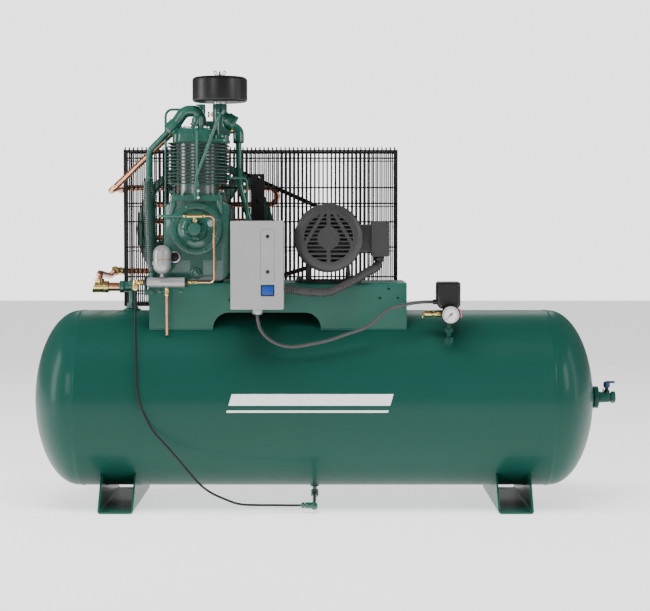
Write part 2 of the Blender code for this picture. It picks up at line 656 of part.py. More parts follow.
def build_small_lines():
    """Thin green and copper lines on the pump, each a rigid bent tube."""
    thin = 0.0038
    tee_y = -0.183
    tee_z = 0.8305
    drop_y = HIGH_Y - 0.015
    unloader = [(-0.3792, HIGH_Y, 1.1435), (-0.3950, HIGH_Y, 1.1435), (-0.4200, drop_y, 1.1435),
                (-0.4668, drop_y, 1.1435), (-0.4668, drop_y, tee_z), (-0.4668, tee_y, tee_z),
                (-0.3946, tee_y, tee_z)]
    add("unloader_tube", pipe(unloader, thin, 0.018, steps=3), "green_paint")

    breather_y = LOW_Y - 0.090
    breather = [(-0.2990, LOW_Y - 0.0212, 1.1250), (-0.2950, breather_y, 1.1180),
                (-0.3609, breather_y, 0.9436), (-0.3620, breather_y, 0.8840),
                (-0.3620, CRANKCASE_Y[0] - 0.0064, 0.8840)]
    tube = add("breather_tube", pipe(breather, thin, 0.010, steps=3), "green_paint")
    join(tube, rod(0.0036, "Z", (-0.3600, breather_y, 0), 0.9300, 1.0700, 8))

    pilot = [(-0.2812, -0.060, 0.9400), (-0.2230, -0.060, 0.9400), (-0.2230, -0.060, 0.7000),
             (-0.2707 + GAP, -0.060, 0.7000)]
    add("pilot_tube", pipe(pilot, 0.0033, 0.012, steps=3), "green_paint")

    stem = sweep([((PUMP_X, tee_y, tee_z), 0.0050), ((PUMP_X, tee_y, 0.8136), 0.0050)], 8)
    bar = sweep([((-0.3943, tee_y, tee_z), 0.0058), ((-0.3356, tee_y, tee_z), 0.0058)], 8)
    lower = MANIFOLD_Z
    copper = pipe([(-0.3400, tee_y, tee_z), (-0.3110, tee_y, tee_z), (-0.3100, MANIFOLD_Y - 0.004, lower),
                   (-0.3600, MANIFOLD_Y, lower)], 0.0030, 0.012, steps=3)
    nuts = sweep([((-0.3573, MANIFOLD_Y, lower), 0.0062), ((-0.3854, MANIFOLD_Y, lower), 0.0062)], 6)
    sensing = add("sensing_line", bar, "copper")
    join(sensing, stem, copper, nuts)

    drip = [(0, 0.4960), (0.0031, 0.4960), (0.0031, 0.6050), (0.0068, 0.6060), (0.0068, 0.6300),
            (0, 0.6300)]
    add("drip_tube", turned(drip, "Z", (-0.4438, MANIFOLD_Y, 0), 8, closed=False), "copper")


def build_pilot_manifold():
    """A grey cylinder with black ends in front of the platform, a capsule on it and a hose elbow."""
    body = [(0, -0.5203), (0.0090, -0.5203), (0.0090, -0.5088), (0.0125, -0.5088), (0.0125, -0.4993),
            (0.0139, -0.4993), (0.0139, -0.3927), (0.0125, -0.3927), (0.0125, -0.3857), (0, -0.3857)]
    manifold = add("pilot_manifold", turned(body, "X", (0, MANIFOLD_Y, MANIFOLD_Z), 14, closed=False),
                   "light_grey_paint")
    hose_elbow = sweep([((-0.5150, MANIFOLD_Y, MANIFOLD_Z), 0.0060),
                        ((-0.5318, MANIFOLD_Y, MANIFOLD_Z), 0.0075),
                        ((-0.5318, MANIFOLD_Y, 0.6220), 0.0065)], 8)
    bracket = box((-0.5080, MANIFOLD_Y + 0.002, 0.6200), (-0.5035, -PLATFORM_HALF_DEPTH - 0.0040, 0.6580))
    tab = box((-0.5080, -PLATFORM_HALF_DEPTH - 0.0043, 0.6080), (-0.4800, -PLATFORM_HALF_DEPTH - GAP, 0.6240))
    join(manifold, hose_elbow, bracket, tab)
    cut(manifold, rod(0.0072, "Z", (-0.4438, MANIFOLD_Y, 0), 0.60, 0.6303, 8))

    centre_z = 0.7087
    radius = 0.0250
    shell = [(0, 0.6590), (0.0050, 0.6590), (0.0050, centre_z - 0.0405)]
    for k in range(1, 4):
        angle = math.radians(90 * k / 3)
        shell.append((radius * math.sin(angle), centre_z - 0.0160 - 0.0245 * math.cos(angle)))
    for k in range(4):
        angle = math.radians(90 * k / 3)
        shell.append((radius * math.cos(angle), centre_z + 0.0160 + 0.0245 * math.sin(angle)))
    shell[-1] = (0, centre_z + 0.0405)
    add("pilot_capsule", turned(shell, "Z", (-0.4568, MANIFOLD_Y, 0), 14, closed=False), "light_grey_paint")


def build_hose():
    route = [(-0.5318, -0.175, 0.6213), (-0.5318, -0.176, 0.6080), (-0.5312, -0.182, 0.5750),
             (-0.5297, -0.202, 0.5179), (-0.5247, -0.236, 0.4396), (-0.5223, -0.253, 0.3884),
             (-0.5185, -0.263, 0.3425), (-0.5092, -0.266, 0.3043), (-0.4959, -0.267, 0.2741),
             (-0.4750, -0.268, 0.2356), (-0.4430, -0.268, 0.1999), (-0.4116, -0.268, 0.1641),
             (-0.3797, -0.268, 0.1256), (-0.3483, -0.266, 0.0899), (-0.3171, -0.262, 0.0648),
             (-0.2814, -0.255, 0.0466), (-0.2444, -0.245, 0.0312), (-0.2078, -0.235, 0.0257),
             (-0.1389, -0.222, 0.0230), (-0.0974, -0.216, 0.0216), (-0.0679, -0.215, 0.0215)]
    cord("drain_hose", route, 0.0032, 0.0190, "black_rubber")


def build_drain():
    """Nipple and elbow under the tank, a pipe to the front, a plugged tee and the hose nut."""
    front = -0.215
    riser = [((DRAIN_X, 0, 0.0442), 0.0065), ((DRAIN_X, 0, 0.0350), 0.0065), ((DRAIN_X, 0, 0.0340), 0.0110),
             ((DRAIN_X, 0, DRAIN_Z), 0.0110), ((DRAIN_X, -0.012, DRAIN_Z), 0.0110),
             ((DRAIN_X, -0.013, DRAIN_Z), 0.0065), ((DRAIN_X, front + 0.010, DRAIN_Z), 0.0065)]
    pipe_part = add("drain_pipe", sweep(riser, 10), "green_paint")
    tee = rod(0.0090, "Y", (DRAIN_X, 0, DRAIN_Z), front - 0.025, front + 0.012, 6)
    nut = [(0.0050, DRAIN_X), (0.0050, -0.0430), (0.0085, -0.0430), (0.0085, -0.0520), (0.0050, -0.0530),
           (0.0050, -0.0560), (0.0085, -0.0560), (0.0085, -0.0676)]
    join(pipe_part, tee, turned(nut, "X", (0, front, DRAIN_Z), 8, closed=False))


# ---------------------------------------------------------------- drive
def build_belt():
    """A banded pair of V-belts round both wheels, clear of the grooves on every side."""
    centres = (Vector((PUMP_X, 0, CRANK_Z)), Vector((MOTOR_X, 0, MOTOR_Z)))
    radii = (FLYWHEEL_RADIUS, PULLEY_RADIUS)
    between = centres[1] - centres[0]
    heading = math.atan2(between.z, between.x)
    spread = math.acos((radii[0] - radii[1]) / between.length)
    stations = []
    arcs = ((0, heading + spread, heading + 2 * math.pi - spread, 15),
            (1, heading - spread, heading + spread, 8))
    for wheel, start, end, steps in arcs:
        for k in range(steps + 1):
            angle = start + (end - start) * k / steps
            outward = Vector((math.cos(angle), 0, math.sin(angle)))
            stations.append((centres[wheel] + outward * radii[wheel], outward))
    front, rear = GROOVE_Y[0] - 0.0062, GROOVE_Y[1] + 0.0062
    section = [(front, 0.0045), (rear, 0.0045), (GROOVE_Y[1] + 0.0030, -0.0085),
               (GROOVE_Y[1] - 0.0030, -0.0085), (GROOVE_Y[1] - 0.0055, 0.0026),
               (GROOVE_Y[0] + 0.0055, 0.0026), (GROOVE_Y[0] + 0.0030, -0.0085),
               (GROOVE_Y[0] - 0.0030, -0.0085)]
    rings = [[point + outward * h + Vector((0, y, 0)) for y, h in section] for point, outward in stations]
    add("drive_belt", skin(rings, closed=True), "black_rubber")


def build_motor():
    axis_point = (MOTOR_X, 0, MOTOR_Z)
    frame_y = (-0.145, 0.098)
    frame_profile = [(0.0885, frame_y[0]), (0.0950, frame_y[0]), (0.0950, frame_y[1]), (0.0885, frame_y[1]),
                     (0.0885, 0.060), (0.0580, 0.060), (0.0580, -0.080), (0.0885, -0.080)]
    frame = add("motor_frame", turned(frame_profile, "Y", axis_point, 20), "grey_motor_paint")
    bottom = PLATFORM_TOP + GAP
    base = box((MOTOR_X - 0.095, -0.120, bottom), (MOTOR_X + 0.095, 0.075, bottom + 0.007))
    webs = [box((MOTOR_X + side * 0.058 - 0.012, -0.115, bottom + 0.005),
                (MOTOR_X + side * 0.058 + 0.012, 0.070, MOTOR_Z - 0.070)) for side in (-1, 1)]
    neck = box((MOTOR_X + 0.086, -0.130, 0.7250), (0.1311, -0.030, 0.8080))
    join(frame, base, *webs, neck)

    mouth = frame_y[0] - GAP
    cover = [(0, -0.199), (0.0725, -0.198), (0.0895, -0.193), (0.0930, -0.186), (0.0925, mouth),
             (MOTOR_RADIUS, mouth), (MOTOR_RADIUS, -0.188), (0.0915, -0.196), (0.0735, -0.201), (0, -0.202)]
    cowl = add("fan_cover", turned(cover, "Y", axis_point, 20, closed=False), "grey_motor_paint")
    slots = []
    for level in (-0.042, 0.042):
        for side in (-1, 1):
            slots.append(box((MOTOR_X + side * 0.022 - 0.018, -0.21, MOTOR_Z + level - 0.010),
                             (MOTOR_X + side * 0.022 + 0.018, -0.19, MOTOR_Z + level + 0.010)))
    cut(cowl, *slots)

    seat = frame_y[1] + GAP
    bell = [(0.0150, seat + 0.034), (0.0150, seat + 0.006), (0.0835, seat), (0.0950, seat),
            (0.0950, seat + 0.012), (0.0815, seat + 0.022), (0.0300, seat + 0.026), (0.0260, seat + 0.034)]
    add("motor_end_bell", turned(bell, "Y", axis_point, 16), "grey_motor_paint")

    pivot = axis_point
    shaft = [(0, -0.183), (0.0110, -0.183), (0.0110, -0.075), (0.0560, -0.074), (0.0560, 0.054),
             (0.0140, 0.055), (0.0140, 0.290), (0, 0.290)]
    add("motor_shaft", turned(shaft, "Y", axis_point, 16, closed=False), "steel", pivot)

    fan_profile = [(0.0113, -0.180), (0.0200, -0.180), (0.0220, -0.160), (0.0720, -0.158), (0.0720, -0.155),
                   (0.0113, -0.155)]
    fan = add("motor_fan", turned(fan_profile, "Y", axis_point, 16), "black_plastic", pivot)
    blades = []
    for k in range(5):
        blade = box((0.024, -0.012, -0.0015), (0.0700, 0.014, 0.0015))
        turn = Matrix.Rotation(math.radians(72 * k + 10), 4, "Y")
        place = Matrix.Translation((MOTOR_X, -0.172, MOTOR_Z))
        bmesh.ops.transform(blade, matrix=place @ turn, verts=blade.verts)
        blades.append(blade)
    join(fan, *blades)

    pulley = [(0.0143, 0.243), (PULLEY_RADIUS, 0.243)] + groove_profile(PULLEY_RADIUS)
    pulley += [(PULLEY_RADIUS, 0.282), (0.0143, 0.282)]
    add("motor_pulley", turned(pulley, "Y", axis_point, 16), "cast_iron", pivot)

    box_outline = rounded((0.1314, 0.7170), (0.1811, 0.8156), 0.003, 1)
    add("terminal_box", prism(box_outline, "Y", -0.145, -0.015), "grey_motor_paint")
    conduit = [(0.1528, -0.105, 0.7150), (0.1526, -0.105, 0.6970), (0.1420, -0.120, 0.6840),
               (0.1144, -0.155, 0.6700), (0.0782, -0.180, 0.6490), (0.0388, -0.195, 0.6290),
               (0.0036, -0.205, 0.6180), (-0.0434, -0.215, 0.6190), (-0.0800, -0.222, 0.6238),
               (-0.1000, -0.224, 0.6262), (-0.1125, -0.224, 0.6268)]
    cord("motor_conduit", conduit, 0.0124, 0.0170, "grey_plastic")


def build_guard():
    """Two mesh halves of the belt guard, as coarse frames of bars, and their upright bracket."""
    columns = [GUARD_X[0], -0.445, -0.280, -0.085, GUARD_X[1]]
    rows = [GUARD_Z[0], 0.700, 0.880, GUARD_Z[1]]
    inset = GUARD_BAR / 2

    def spans(edges):
        """The clear lengths between bars, whose outer ones lie inside the first and last edge."""
        lows = [edges[0] + inset] + edges[1:-1]
        highs = edges[1:-1] + [edges[-1] - inset]
        return [(low + inset, high - inset) for low, high in zip(lows, highs)]

    panel = [(x, z) for x in spans(columns) for z in spans(rows)]
    front, rear = GUARD_FRONT_Y, GUARD_FRONT_Y + GUARD_BAR
    sheet = box((GUARD_X[0], front, GUARD_Z[0]), (GUARD_X[1], rear, GUARD_Z[1]))
    plate = add("guard_front", sheet, "black_paint")
    cut(plate, *[box((x[0], front - 0.01, z[0]), (x[1], rear + 0.01, z[1])) for x, z in panel])

    front, rear = rear + 0.002, GUARD_REAR_Y
    deep, back = front + GUARD_BAR, rear - GUARD_BAR
    block = box((GUARD_X[0], front, GUARD_Z[0]), (GUARD_X[1], rear, GUARD_Z[1]))
    cage = add("guard_cage", block, "black_paint")
    cut(cage, box((GUARD_X[0] + GUARD_BAR, front - 0.01, GUARD_Z[0] + GUARD_BAR),
                  (GUARD_X[1] - GUARD_BAR, back, GUARD_Z[1] - GUARD_BAR)))
    cut(cage, *[box((x[0], back - 0.01, z[0]), (x[1], rear + 0.01, z[1])) for x, z in panel])
    cut(cage, *[box((GUARD_X[0] - 0.01, deep, low), (GUARD_X[1] + 0.01, back, high))
                for low, high in spans(rows)])
    cut(cage, *[box((low, deep, GUARD_Z[0] - 0.01), (high, back, GUARD_Z[1] + 0.01))
                for low, high in spans(columns)])

    channel = [(-0.2200, 0.1390), (-0.1800, 0.1390), (-0.1800, 0.1640), (-0.1830, 0.1640), (-0.1830, 0.1420),
               (-0.2170, 0.1420), (-0.2170, 0.1640), (-0.2200, 0.1640)]
    bracket = add("guard_bracket", prism(channel, "Z", PLATFORM_TOP + GAP, 0.9580), "black_paint")
    cut(bracket, rod(0.0045, "Y", (-0.1965, 0, 0.9450), 0.13, 0.15, 8))


# ---------------------------------------------------------------- controls
def build_enclosure():
    left, right = ENCLOSURE_X
    bottom, top = ENCLOSURE_Z
    back = -PLATFORM_HALF_DEPTH - GAP
    lid = ENCLOSURE_FRONT_Y + 0.0060
    sheet = 0.0020
    case = add("starter_enclosure", box((left, lid + GAP, bottom), (right, back, top)), "light_grey_paint")
    cut(case, box((left + sheet, lid - 0.01, bottom + sheet), (right - sheet, back - sheet, top - sheet)))
    join(case, turned([(0, 0.5580), (0.0115, 0.5580), (0.0145, 0.5620), (0.0145, 0.5745), (0, 0.5745)], "Z",
                      (-0.1870, -0.2400, 0), 12, closed=False))
    sheet_cover = box((left, ENCLOSURE_FRONT_Y, bottom), (right, lid, top))
    cover = add("enclosure_cover", sheet_cover, "light_grey_paint")
    x, z = BUTTON_CENTRE
    cut(cover, box((x - 0.0165, ENCLOSURE_FRONT_Y - 0.01, z - 0.0130), (x + 0.0165, lid + 0.01, z + 0.0130)))
    pivot = (x, ENCLOSURE_FRONT_Y, z)
    button = rounded((x - 0.0160, z - 0.0125), (x + 0.0160, z + 0.0125), 0.0020, 1)
    add("reset_button", prism(button, "Y", ENCLOSURE_FRONT_Y - 0.0030, ENCLOSURE_FRONT_Y + 0.0120),
        "blue_plastic", pivot)

    cable = [(-0.1870, -0.240, 0.5570), (-0.1867, -0.240, 0.5440), (-0.1790, -0.240, 0.5160),
             (-0.1600, -0.240, 0.4931), (-0.1281, -0.240, 0.4746), (-0.0913, -0.240, 0.4680),
             (-0.0429, -0.238, 0.4742), (0.0111, -0.235, 0.4859), (0.0593, -0.230, 0.5019),
             (0.1016, -0.225, 0.5152), (0.1317, -0.220, 0.5313), (0.1558, -0.215, 0.5550),
             (0.1830, -0.209, 0.5720), (0.2288, -0.200, 0.5841), (0.2657, -0.190, 0.5895),
             (0.2950, -0.181, 0.5902), (0.3118, -0.180, 0.5902)]
    cord("switch_cable", cable, 0.0048, 0.0280, "grey_plastic")


def build_switch_group():
    """Riser with its manifold block, pressure switch, gauge and safety valve."""
    riser = [(0.0068, 0.4908), (0.0068, 0.5050), (0.0105, 0.5060), (0.0105, 0.5140), (0.0068, 0.5150),
             (0.0068, 0.5718)]
    stand = add("tank_riser", turned(riser, "Z", (RISER_X, RISER_Y, 0), 8, closed=False), "green_paint")
    block = box((0.3310, RISER_Y - 0.0160, 0.5440), (0.3630, RISER_Y + 0.0160, 0.5690))
    valve = [(0.0035, 0.2790), (0.0085, 0.2790), (0.0085, 0.3050), (0.0070, 0.3060), (0.0070, 0.3350),
             (0.0035, 0.3350)]
    gauge_link = rod(0.0070, "Y", (0.3488, 0, GAUGE_Z), -0.2157, -0.190, 8)
    join(stand, block, gauge_link)
    join(stand, turned(valve, "X", (0, RISER_Y, 0.5575), 8))

    outline = rounded((SWITCH_X[0], 0.5721), (SWITCH_X[1], 0.6468), 0.005, 2)
    add("pressure_switch", prism(outline, "Y", -0.215, -0.140), "black_plastic")
    lever_pivot = (0.3740, -0.178, 0.5690)
    lever = [(0.3706, 0.5660), (0.3740, 0.5650), (0.3795, 0.5480), (0.3843, 0.5480), (0.3800, 0.5700),
             (0.3740, 0.5715), (0.3714, 0.5700)]
    add("switch_lever", prism(lever, "Y", -0.1850, -0.1710), "red_plastic", lever_pivot)

    dial = [(0, -0.2160), (0.0250, -0.2160), (GAUGE_RADIUS, -0.2180), (GAUGE_RADIUS, -0.2410),
            (0.0255, -0.2430), (0.0240, -0.2430), (0.0240, -0.2370), (0, -0.2370)]
    add("pressure_gauge", turned(dial, "Y", (0.3488, 0, GAUGE_Z), 18, closed=False), "black_paint")
    pivot = (0.3488, -0.2380, GAUGE_Z)
    direction = Vector((-1, 0, -1)).normalized()
    side = Vector((1, 0, -1)).normalized()
    middle = Vector((0.3488, 0, GAUGE_Z))
    flat = [middle + direction * a + side * b for a, b in
            ((0.0190, 0.0), (0.0030, 0.0022), (-0.0060, 0.0016), (-0.0060, -0.0016), (0.0030, -0.0022))]
    add("gauge_needle", prism([(p.x, p.z) for p in flat], "Y", -0.2390, -0.2376), "black_plastic", pivot)

    ring_centre = Vector((0.2735, RISER_Y, 0.5500))
    ring_points = [ring_centre + Vector((0, math.cos(t), math.sin(t))) * 0.0075
                   for t in (2 * math.pi * k / 10 for k in range(10))]
    pivot = (0.2790, RISER_Y, 0.5575)
    loop = sweep([(point, 0.0013) for point in ring_points], 5, closed=True)
    ring = add("safety_valve_ring", loop, "brass", pivot)
    stem = rod(0.0026, "X", (0, RISER_Y, 0.5575), 0.2725, 0.2900, 8)
    join(ring, stem)


def build_outlet_valve():
    face = PORT_FACE_X + GAP
    bore = 0.0085
    profile = [(bore, face), (0.0180, face), (0.0320, 0.7817), (0.0320, 0.7945), (0.0130, 0.7960),
               (0.0150, 0.7990), (0.0150, 0.8290), (0.0125, 0.8300), (0.0155, 0.8320), (0.0155, 0.8453),
               (bore, 0.8453)]
    valve = add("outlet_valve", turned(profile, "X", (0, 0, TANK_Z), 12), "green_paint")
    join(valve, rod(0.0055, "Z", (VALVE_X, 0, 0), TANK_Z + 0.012, 0.3320, 8))
    pivot = (VALVE_X, 0, 0.3320)
    handle = add("outlet_handle", turned([(0, 0.3323), (0.0070, 0.3323), (0.0098, 0.3350), (0.0098, 0.3490),
                                          (0, 0.3490)], "Z", (VALVE_X, 0, 0), 10, closed=False),
                 "blue_plastic", pivot)
    join(handle, box((VALVE_X, -0.0065, 0.3460), (VALVE_X + 0.0225, 0.0065, 0.3515)))


clear_scene()
assembly = bpy.data.objects.new("assembly", None)
assembly.location = (0, ASSEMBLY_Y, 0)
bpy.context.collection.objects.link(assembly)

build_tank()
for foot_name, foot_x in FOOT_CENTRES_X.items():
    build_foot(foot_name, foot_x)
build_platform()
build_crankcase()
build_crankshaft()
build_flywheel()
build_cylinder("low_pressure_cylinder", LOW_Y, LOW_BORE, 0.0615, 0.0735)
build_cylinder("high_pressure_cylinder", HIGH_Y, HIGH_BORE, 0.0460, 0.0565)
build_piston("low_pressure_piston", LOW_Y, LOW_BORE)
build_piston("high_pressure_piston", HIGH_Y, HIGH_BORE)
build_heads()
build_intake()
build_crankcase_fittings()
build_interstage()
build_discharge()
build_small_lines()
build_pilot_manifold()
build_hose()
build_drain()
build_belt()
build_motor()
build_guard()
build_enclosure()
build_switch_group()
build_outlet_valve()
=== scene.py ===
"""Looks of a two-stage, belt-driven air compressor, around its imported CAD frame.

Lengths are in metres, and in millimetres inside pairs() and triples(). Every point is measured from
the tank's axis in Y, and each piece is placed at Y0, the axis's own place in the row frame. The
control side faces -Y.
"""

import math

import bmesh
import bpy
from mathutils import Matrix, Vector


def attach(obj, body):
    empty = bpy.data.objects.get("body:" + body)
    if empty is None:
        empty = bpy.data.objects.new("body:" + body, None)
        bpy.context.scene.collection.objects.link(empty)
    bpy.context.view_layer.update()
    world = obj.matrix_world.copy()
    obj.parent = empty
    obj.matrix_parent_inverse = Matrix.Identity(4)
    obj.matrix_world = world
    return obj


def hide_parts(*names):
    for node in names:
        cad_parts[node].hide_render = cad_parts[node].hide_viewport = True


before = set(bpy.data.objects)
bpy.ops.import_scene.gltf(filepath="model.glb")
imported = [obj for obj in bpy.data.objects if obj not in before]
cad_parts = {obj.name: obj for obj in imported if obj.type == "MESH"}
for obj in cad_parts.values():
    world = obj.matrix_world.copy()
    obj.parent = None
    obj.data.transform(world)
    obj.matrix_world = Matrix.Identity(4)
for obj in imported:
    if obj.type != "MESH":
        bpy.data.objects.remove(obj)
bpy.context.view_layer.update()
Y0 = -0.0275


# ---------------------------------------------------------------- camera, light, floor
def look_from(name, place, tilt, lens):
    data = bpy.data.cameras.new(name)
    data.lens = lens
    data.sensor_width = 36.0
    data.clip_start = 0.05
    data.clip_end = 60.0
    eye = bpy.data.objects.new(name, data)
    eye.location = place
    eye.rotation_euler = (math.radians(tilt), 0, 0)
    bpy.context.scene.collection.objects.link(eye)
    return eye


bpy.context.scene.camera = look_from("camera", (0, -5.05 + Y0, 0.797), 87.447, 96.26)


def softbox(name, place, target, width, height, power, mirrored=True):
    data = bpy.data.lights.new(name, "AREA")
    data.shape = "RECTANGLE"
    data.size = width
    data.size_y = height
    data.energy = power
    lamp = bpy.data.objects.new(name, data)
    lamp.location = place
    lamp.rotation_euler = (Vector(target) - Vector(place)).to_track_quat("-Z", "Y").to_euler()
    lamp.visible_glossy = mirrored
    bpy.context.scene.collection.objects.link(lamp)


softbox("key_top", (-0.4, -1.2, 3.6), (0, 0, 0.5), 3.4, 1.2, 165, mirrored=False)
softbox("left_wall", (-3.4, -0.6, 1.4), (-0.3, 0, 0.6), 1.0, 2.4, 54)
softbox("right_wall", (3.4, -0.2, 1.4), (0.3, 0, 0.6), 0.7, 2.4, 14)
softbox("left_panel", (-2.1, -4.1, 2.1), (-0.3, 0, 0.9), 0.9, 2.0, 42)
softbox("right_panel", (3.3, -2.4, 2.1), (-0.2, 0, 0.9), 1.1, 2.0, 50)
softbox("back_fill", (0.0, 3.8, 2.6), (0, 0, 0.6), 3.0, 1.6, 30)

world = bpy.data.worlds.new("studio")
world.use_nodes = True
bpy.context.scene.world = world
sky = world.node_tree.nodes
links = world.node_tree.links
sky["Background"].inputs["Color"].default_value = (1, 1, 1, 1)
sky["Background"].inputs["Strength"].default_value = 0.22
bright = sky.new("ShaderNodeBackground")
bright.inputs["Color"].default_value = (1, 1, 1, 1)
bright.inputs["Strength"].default_value = 2.6
path = sky.new("ShaderNodeLightPath")
either = sky.new("ShaderNodeMixShader")
links.new(path.outputs["Is Camera Ray"], either.inputs["Fac"])
links.new(sky["Background"].outputs["Background"], either.inputs[1])
links.new(bright.outputs["Background"], either.inputs[2])
links.new(either.outputs["Shader"], sky["World Output"].inputs["Surface"])


# ---------------------------------------------------------------- materials
def grain(nodes, wires, source, scale, detail, stretch=None):
    """A noise texture in the piece's own metres."""
    noise = nodes.new("ShaderNodeTexNoise")
    noise.inputs["Scale"].default_value = scale
    noise.inputs["Detail"].default_value = detail
    if stretch:
        place = nodes.new("ShaderNodeMapping")
        place.inputs["Scale"].default_value = stretch
        wires.new(source, place.inputs["Vector"])
        source = place.outputs["Vector"]
    wires.new(source, noise.inputs["Vector"])
    return noise.outputs["Fac"]


def surface(name, colour, rough, metal=0.0, vary=0.12, spread=6.0, bump=0.05, fine=400.0, depth=0.0006,
        coat=0.0, coat_rough=0.08, stretch=None, spec=0.5, glow=0.0):
    """A finish: colour drifting between two tones, uneven gloss, and a fine surface grain."""
    material = bpy.data.materials.new(name)
    material.use_nodes = True
    nodes, wires = material.node_tree.nodes, material.node_tree.links
    shader = nodes["Principled BSDF"]
    shader.inputs["Metallic"].default_value = metal
    shader.inputs["Coat Weight"].default_value = coat
    shader.inputs["Coat Roughness"].default_value = coat_rough
    shader.inputs["Specular IOR Level"].default_value = spec
    shader.inputs["Emission Color"].default_value = (1, 1, 1, 1)
    shader.inputs["Emission Strength"].default_value = glow
    where = nodes.new("ShaderNodeTexCoord").outputs["Object"]
    drift = grain(nodes, wires, where, spread, 5.0, stretch)
    tones = nodes.new("ShaderNodeValToRGB")
    dark = [c * (1 - vary) for c in colour]
    light = [min(1.0, c * (1 + vary)) for c in colour]
    tones.color_ramp.elements[0].position = 0.3
    tones.color_ramp.elements[0].color = (*dark, 1)
    tones.color_ramp.elements[1].position = 0.72
    tones.color_ramp.elements[1].color = (*light, 1)
    wires.new(drift, tones.inputs["Fac"])
    wires.new(tones.outputs["Color"], shader.inputs["Base Color"])
    tiny = grain(nodes, wires, where, fine, 3.0, stretch)
    gloss = nodes.new("ShaderNodeMapRange")
    gloss.inputs["To Min"].default_value = rough * 0.82
    gloss.inputs["To Max"].default_value = min(1.0, rough * 1.22)
    wires.new(grain(nodes, wires, where, spread * 14, 4.0, stretch), gloss.inputs["Value"])
    wires.new(gloss.outputs["Result"], shader.inputs["Roughness"])
    relief = nodes.new("ShaderNodeBump")
    relief.inputs["Strength"].default_value = bump
    relief.inputs["Distance"].default_value = depth
    wires.new(tiny, relief.inputs["Height"])
    wires.new(relief.outputs["Normal"], shader.inputs["Normal"])
    return material


TANK_GREEN = surface("tank_green", (0.005, 0.056, 0.041), 0.4, vary=0.04, spread=2.2, bump=0.03, fine=120,
    depth=0.0002, coat=0.12, coat_rough=0.1, spec=0.15)
GLOSS_GREEN = surface("gloss_green", (0.01, 0.055, 0.043), 0.24, vary=0.05, spread=30, bump=0.02, fine=300,
    coat=1.0, coat_rough=0.22, spec=1.0)
# Fins: the cast paint made darker, as painted shade for the gaps between the fins
FIN_SHADED_GREEN = surface("fin_green_painted_shade", (0.006, 0.048, 0.036), 0.34, vary=0.08, spread=30, bump=0.05, fine=400,
    coat=0.6)
SHEET_GREEN = surface("sheet_green", (0.008, 0.08, 0.057), 0.36, vary=0.05, spread=5, bump=0.06, fine=240,
    coat=0.08)
CAST_GREEN = surface("cast_green", (0.009, 0.072, 0.052), 0.28, vary=0.08, spread=22, bump=0.12, fine=420,
    depth=0.0004, coat=0.6)
PIPE_GREEN = surface("pipe_green", (0.01, 0.08, 0.058), 0.22, vary=0.08, spread=30, bump=0.06, fine=300,
    coat=0.5)
BLACK = surface("satin_black", (0.006, 0.006, 0.006), 0.36, vary=0.2, spread=20, bump=0.12, fine=700,
    spec=0.35)
FILTER_BLACK = surface("filter_black", (0.004, 0.004, 0.004), 0.36, vary=0.15, spread=12, bump=0.05,
    fine=900, spec=0.4)
WIRE = surface("wire_black", (0.005, 0.005, 0.005), 0.36, vary=0.25, spread=60, bump=0.05, fine=900,
    spec=0.35)
MOTOR_GREY = surface("motor_grey", (0.024, 0.024, 0.025), 0.42, vary=0.08, spread=16, bump=0.3, fine=800)
BOX_GREY = surface("box_grey", (0.295, 0.295, 0.295), 0.4, vary=0.03, spread=14, bump=0.25, fine=1100,
    depth=0.0003)
CAN_GREY = surface("can_grey", (0.34, 0.34, 0.345), 0.34, 0.55, vary=0.05, spread=40, bump=0.12, fine=900)
CONDUIT_GREY = surface("conduit_grey", (0.038, 0.037, 0.036), 0.48, vary=0.08, spread=50, bump=0.1,
    fine=900)
CABLE_GREY = surface("cable_grey", (0.05, 0.049, 0.048), 0.46, vary=0.1, spread=60, bump=0.1, fine=1200)
RUBBER = surface("rubber_black", (0.007, 0.007, 0.007), 0.5, vary=0.25, spread=60, bump=0.15, fine=1500,
    spec=0.35)
BELT = surface("belt_rubber", (0.01, 0.01, 0.01), 0.66, vary=0.25, spread=90, bump=0.35, fine=1600,
    spec=0.35)
PLASTIC = surface("moulded_black", (0.008, 0.008, 0.008), 0.34, vary=0.15, spread=40, bump=0.15, fine=1400,
    spec=0.4)
STEEL = surface("bright_steel", (0.6, 0.6, 0.61), 0.22, 1.0, vary=0.05, spread=60, bump=0.05, fine=500,
    stretch=(1, 1, 6))
ZINC = surface("zinc_plate", (0.64, 0.64, 0.625), 0.28, 1.0, vary=0.06, spread=80, bump=0.05, fine=800)
ALLOY = surface("turned_alloy", (0.56, 0.565, 0.575), 0.3, 1.0, vary=0.05, spread=80, bump=0.08, fine=700)
IRON = surface("turned_iron", (0.12, 0.12, 0.122), 0.44, 1.0, vary=0.12, spread=40, bump=0.2, fine=600)
BRASS = surface("brass", (0.78, 0.56, 0.22), 0.2, 1.0, vary=0.05, spread=40, bump=0.03, fine=600)
COPPER = surface("copper_tube", (0.86, 0.4, 0.245), 0.2, 1.0, vary=0.06, spread=16, bump=0.02, fine=500)
BLUE = surface("button_blue", (0.0, 0.04, 0.26), 0.3, vary=0.05, spread=60, bump=0.1, fine=1500)
RED = surface("tab_red", (0.9, 0.16, 0.33), 0.34, vary=0.06, spread=80, bump=0.1, fine=1500)
LEVER_BLUE = surface("lever_blue", (0.004, 0.022, 0.085), 0.32, vary=0.08, spread=80, bump=0.1, fine=1500)
ENAMEL = surface("dial_white", (0.78, 0.78, 0.77), 0.3, vary=0.02, spread=60, bump=0.03, fine=900)
STRIPE = surface("stripe_white", (0.86, 0.86, 0.855), 0.28, vary=0.02, spread=10, bump=0.04, fine=500)
FLOOR = surface("floor", (0.93, 0.93, 0.93), 0.6, vary=0.01, spread=1.5, bump=0.02, fine=60, glow=1.04)


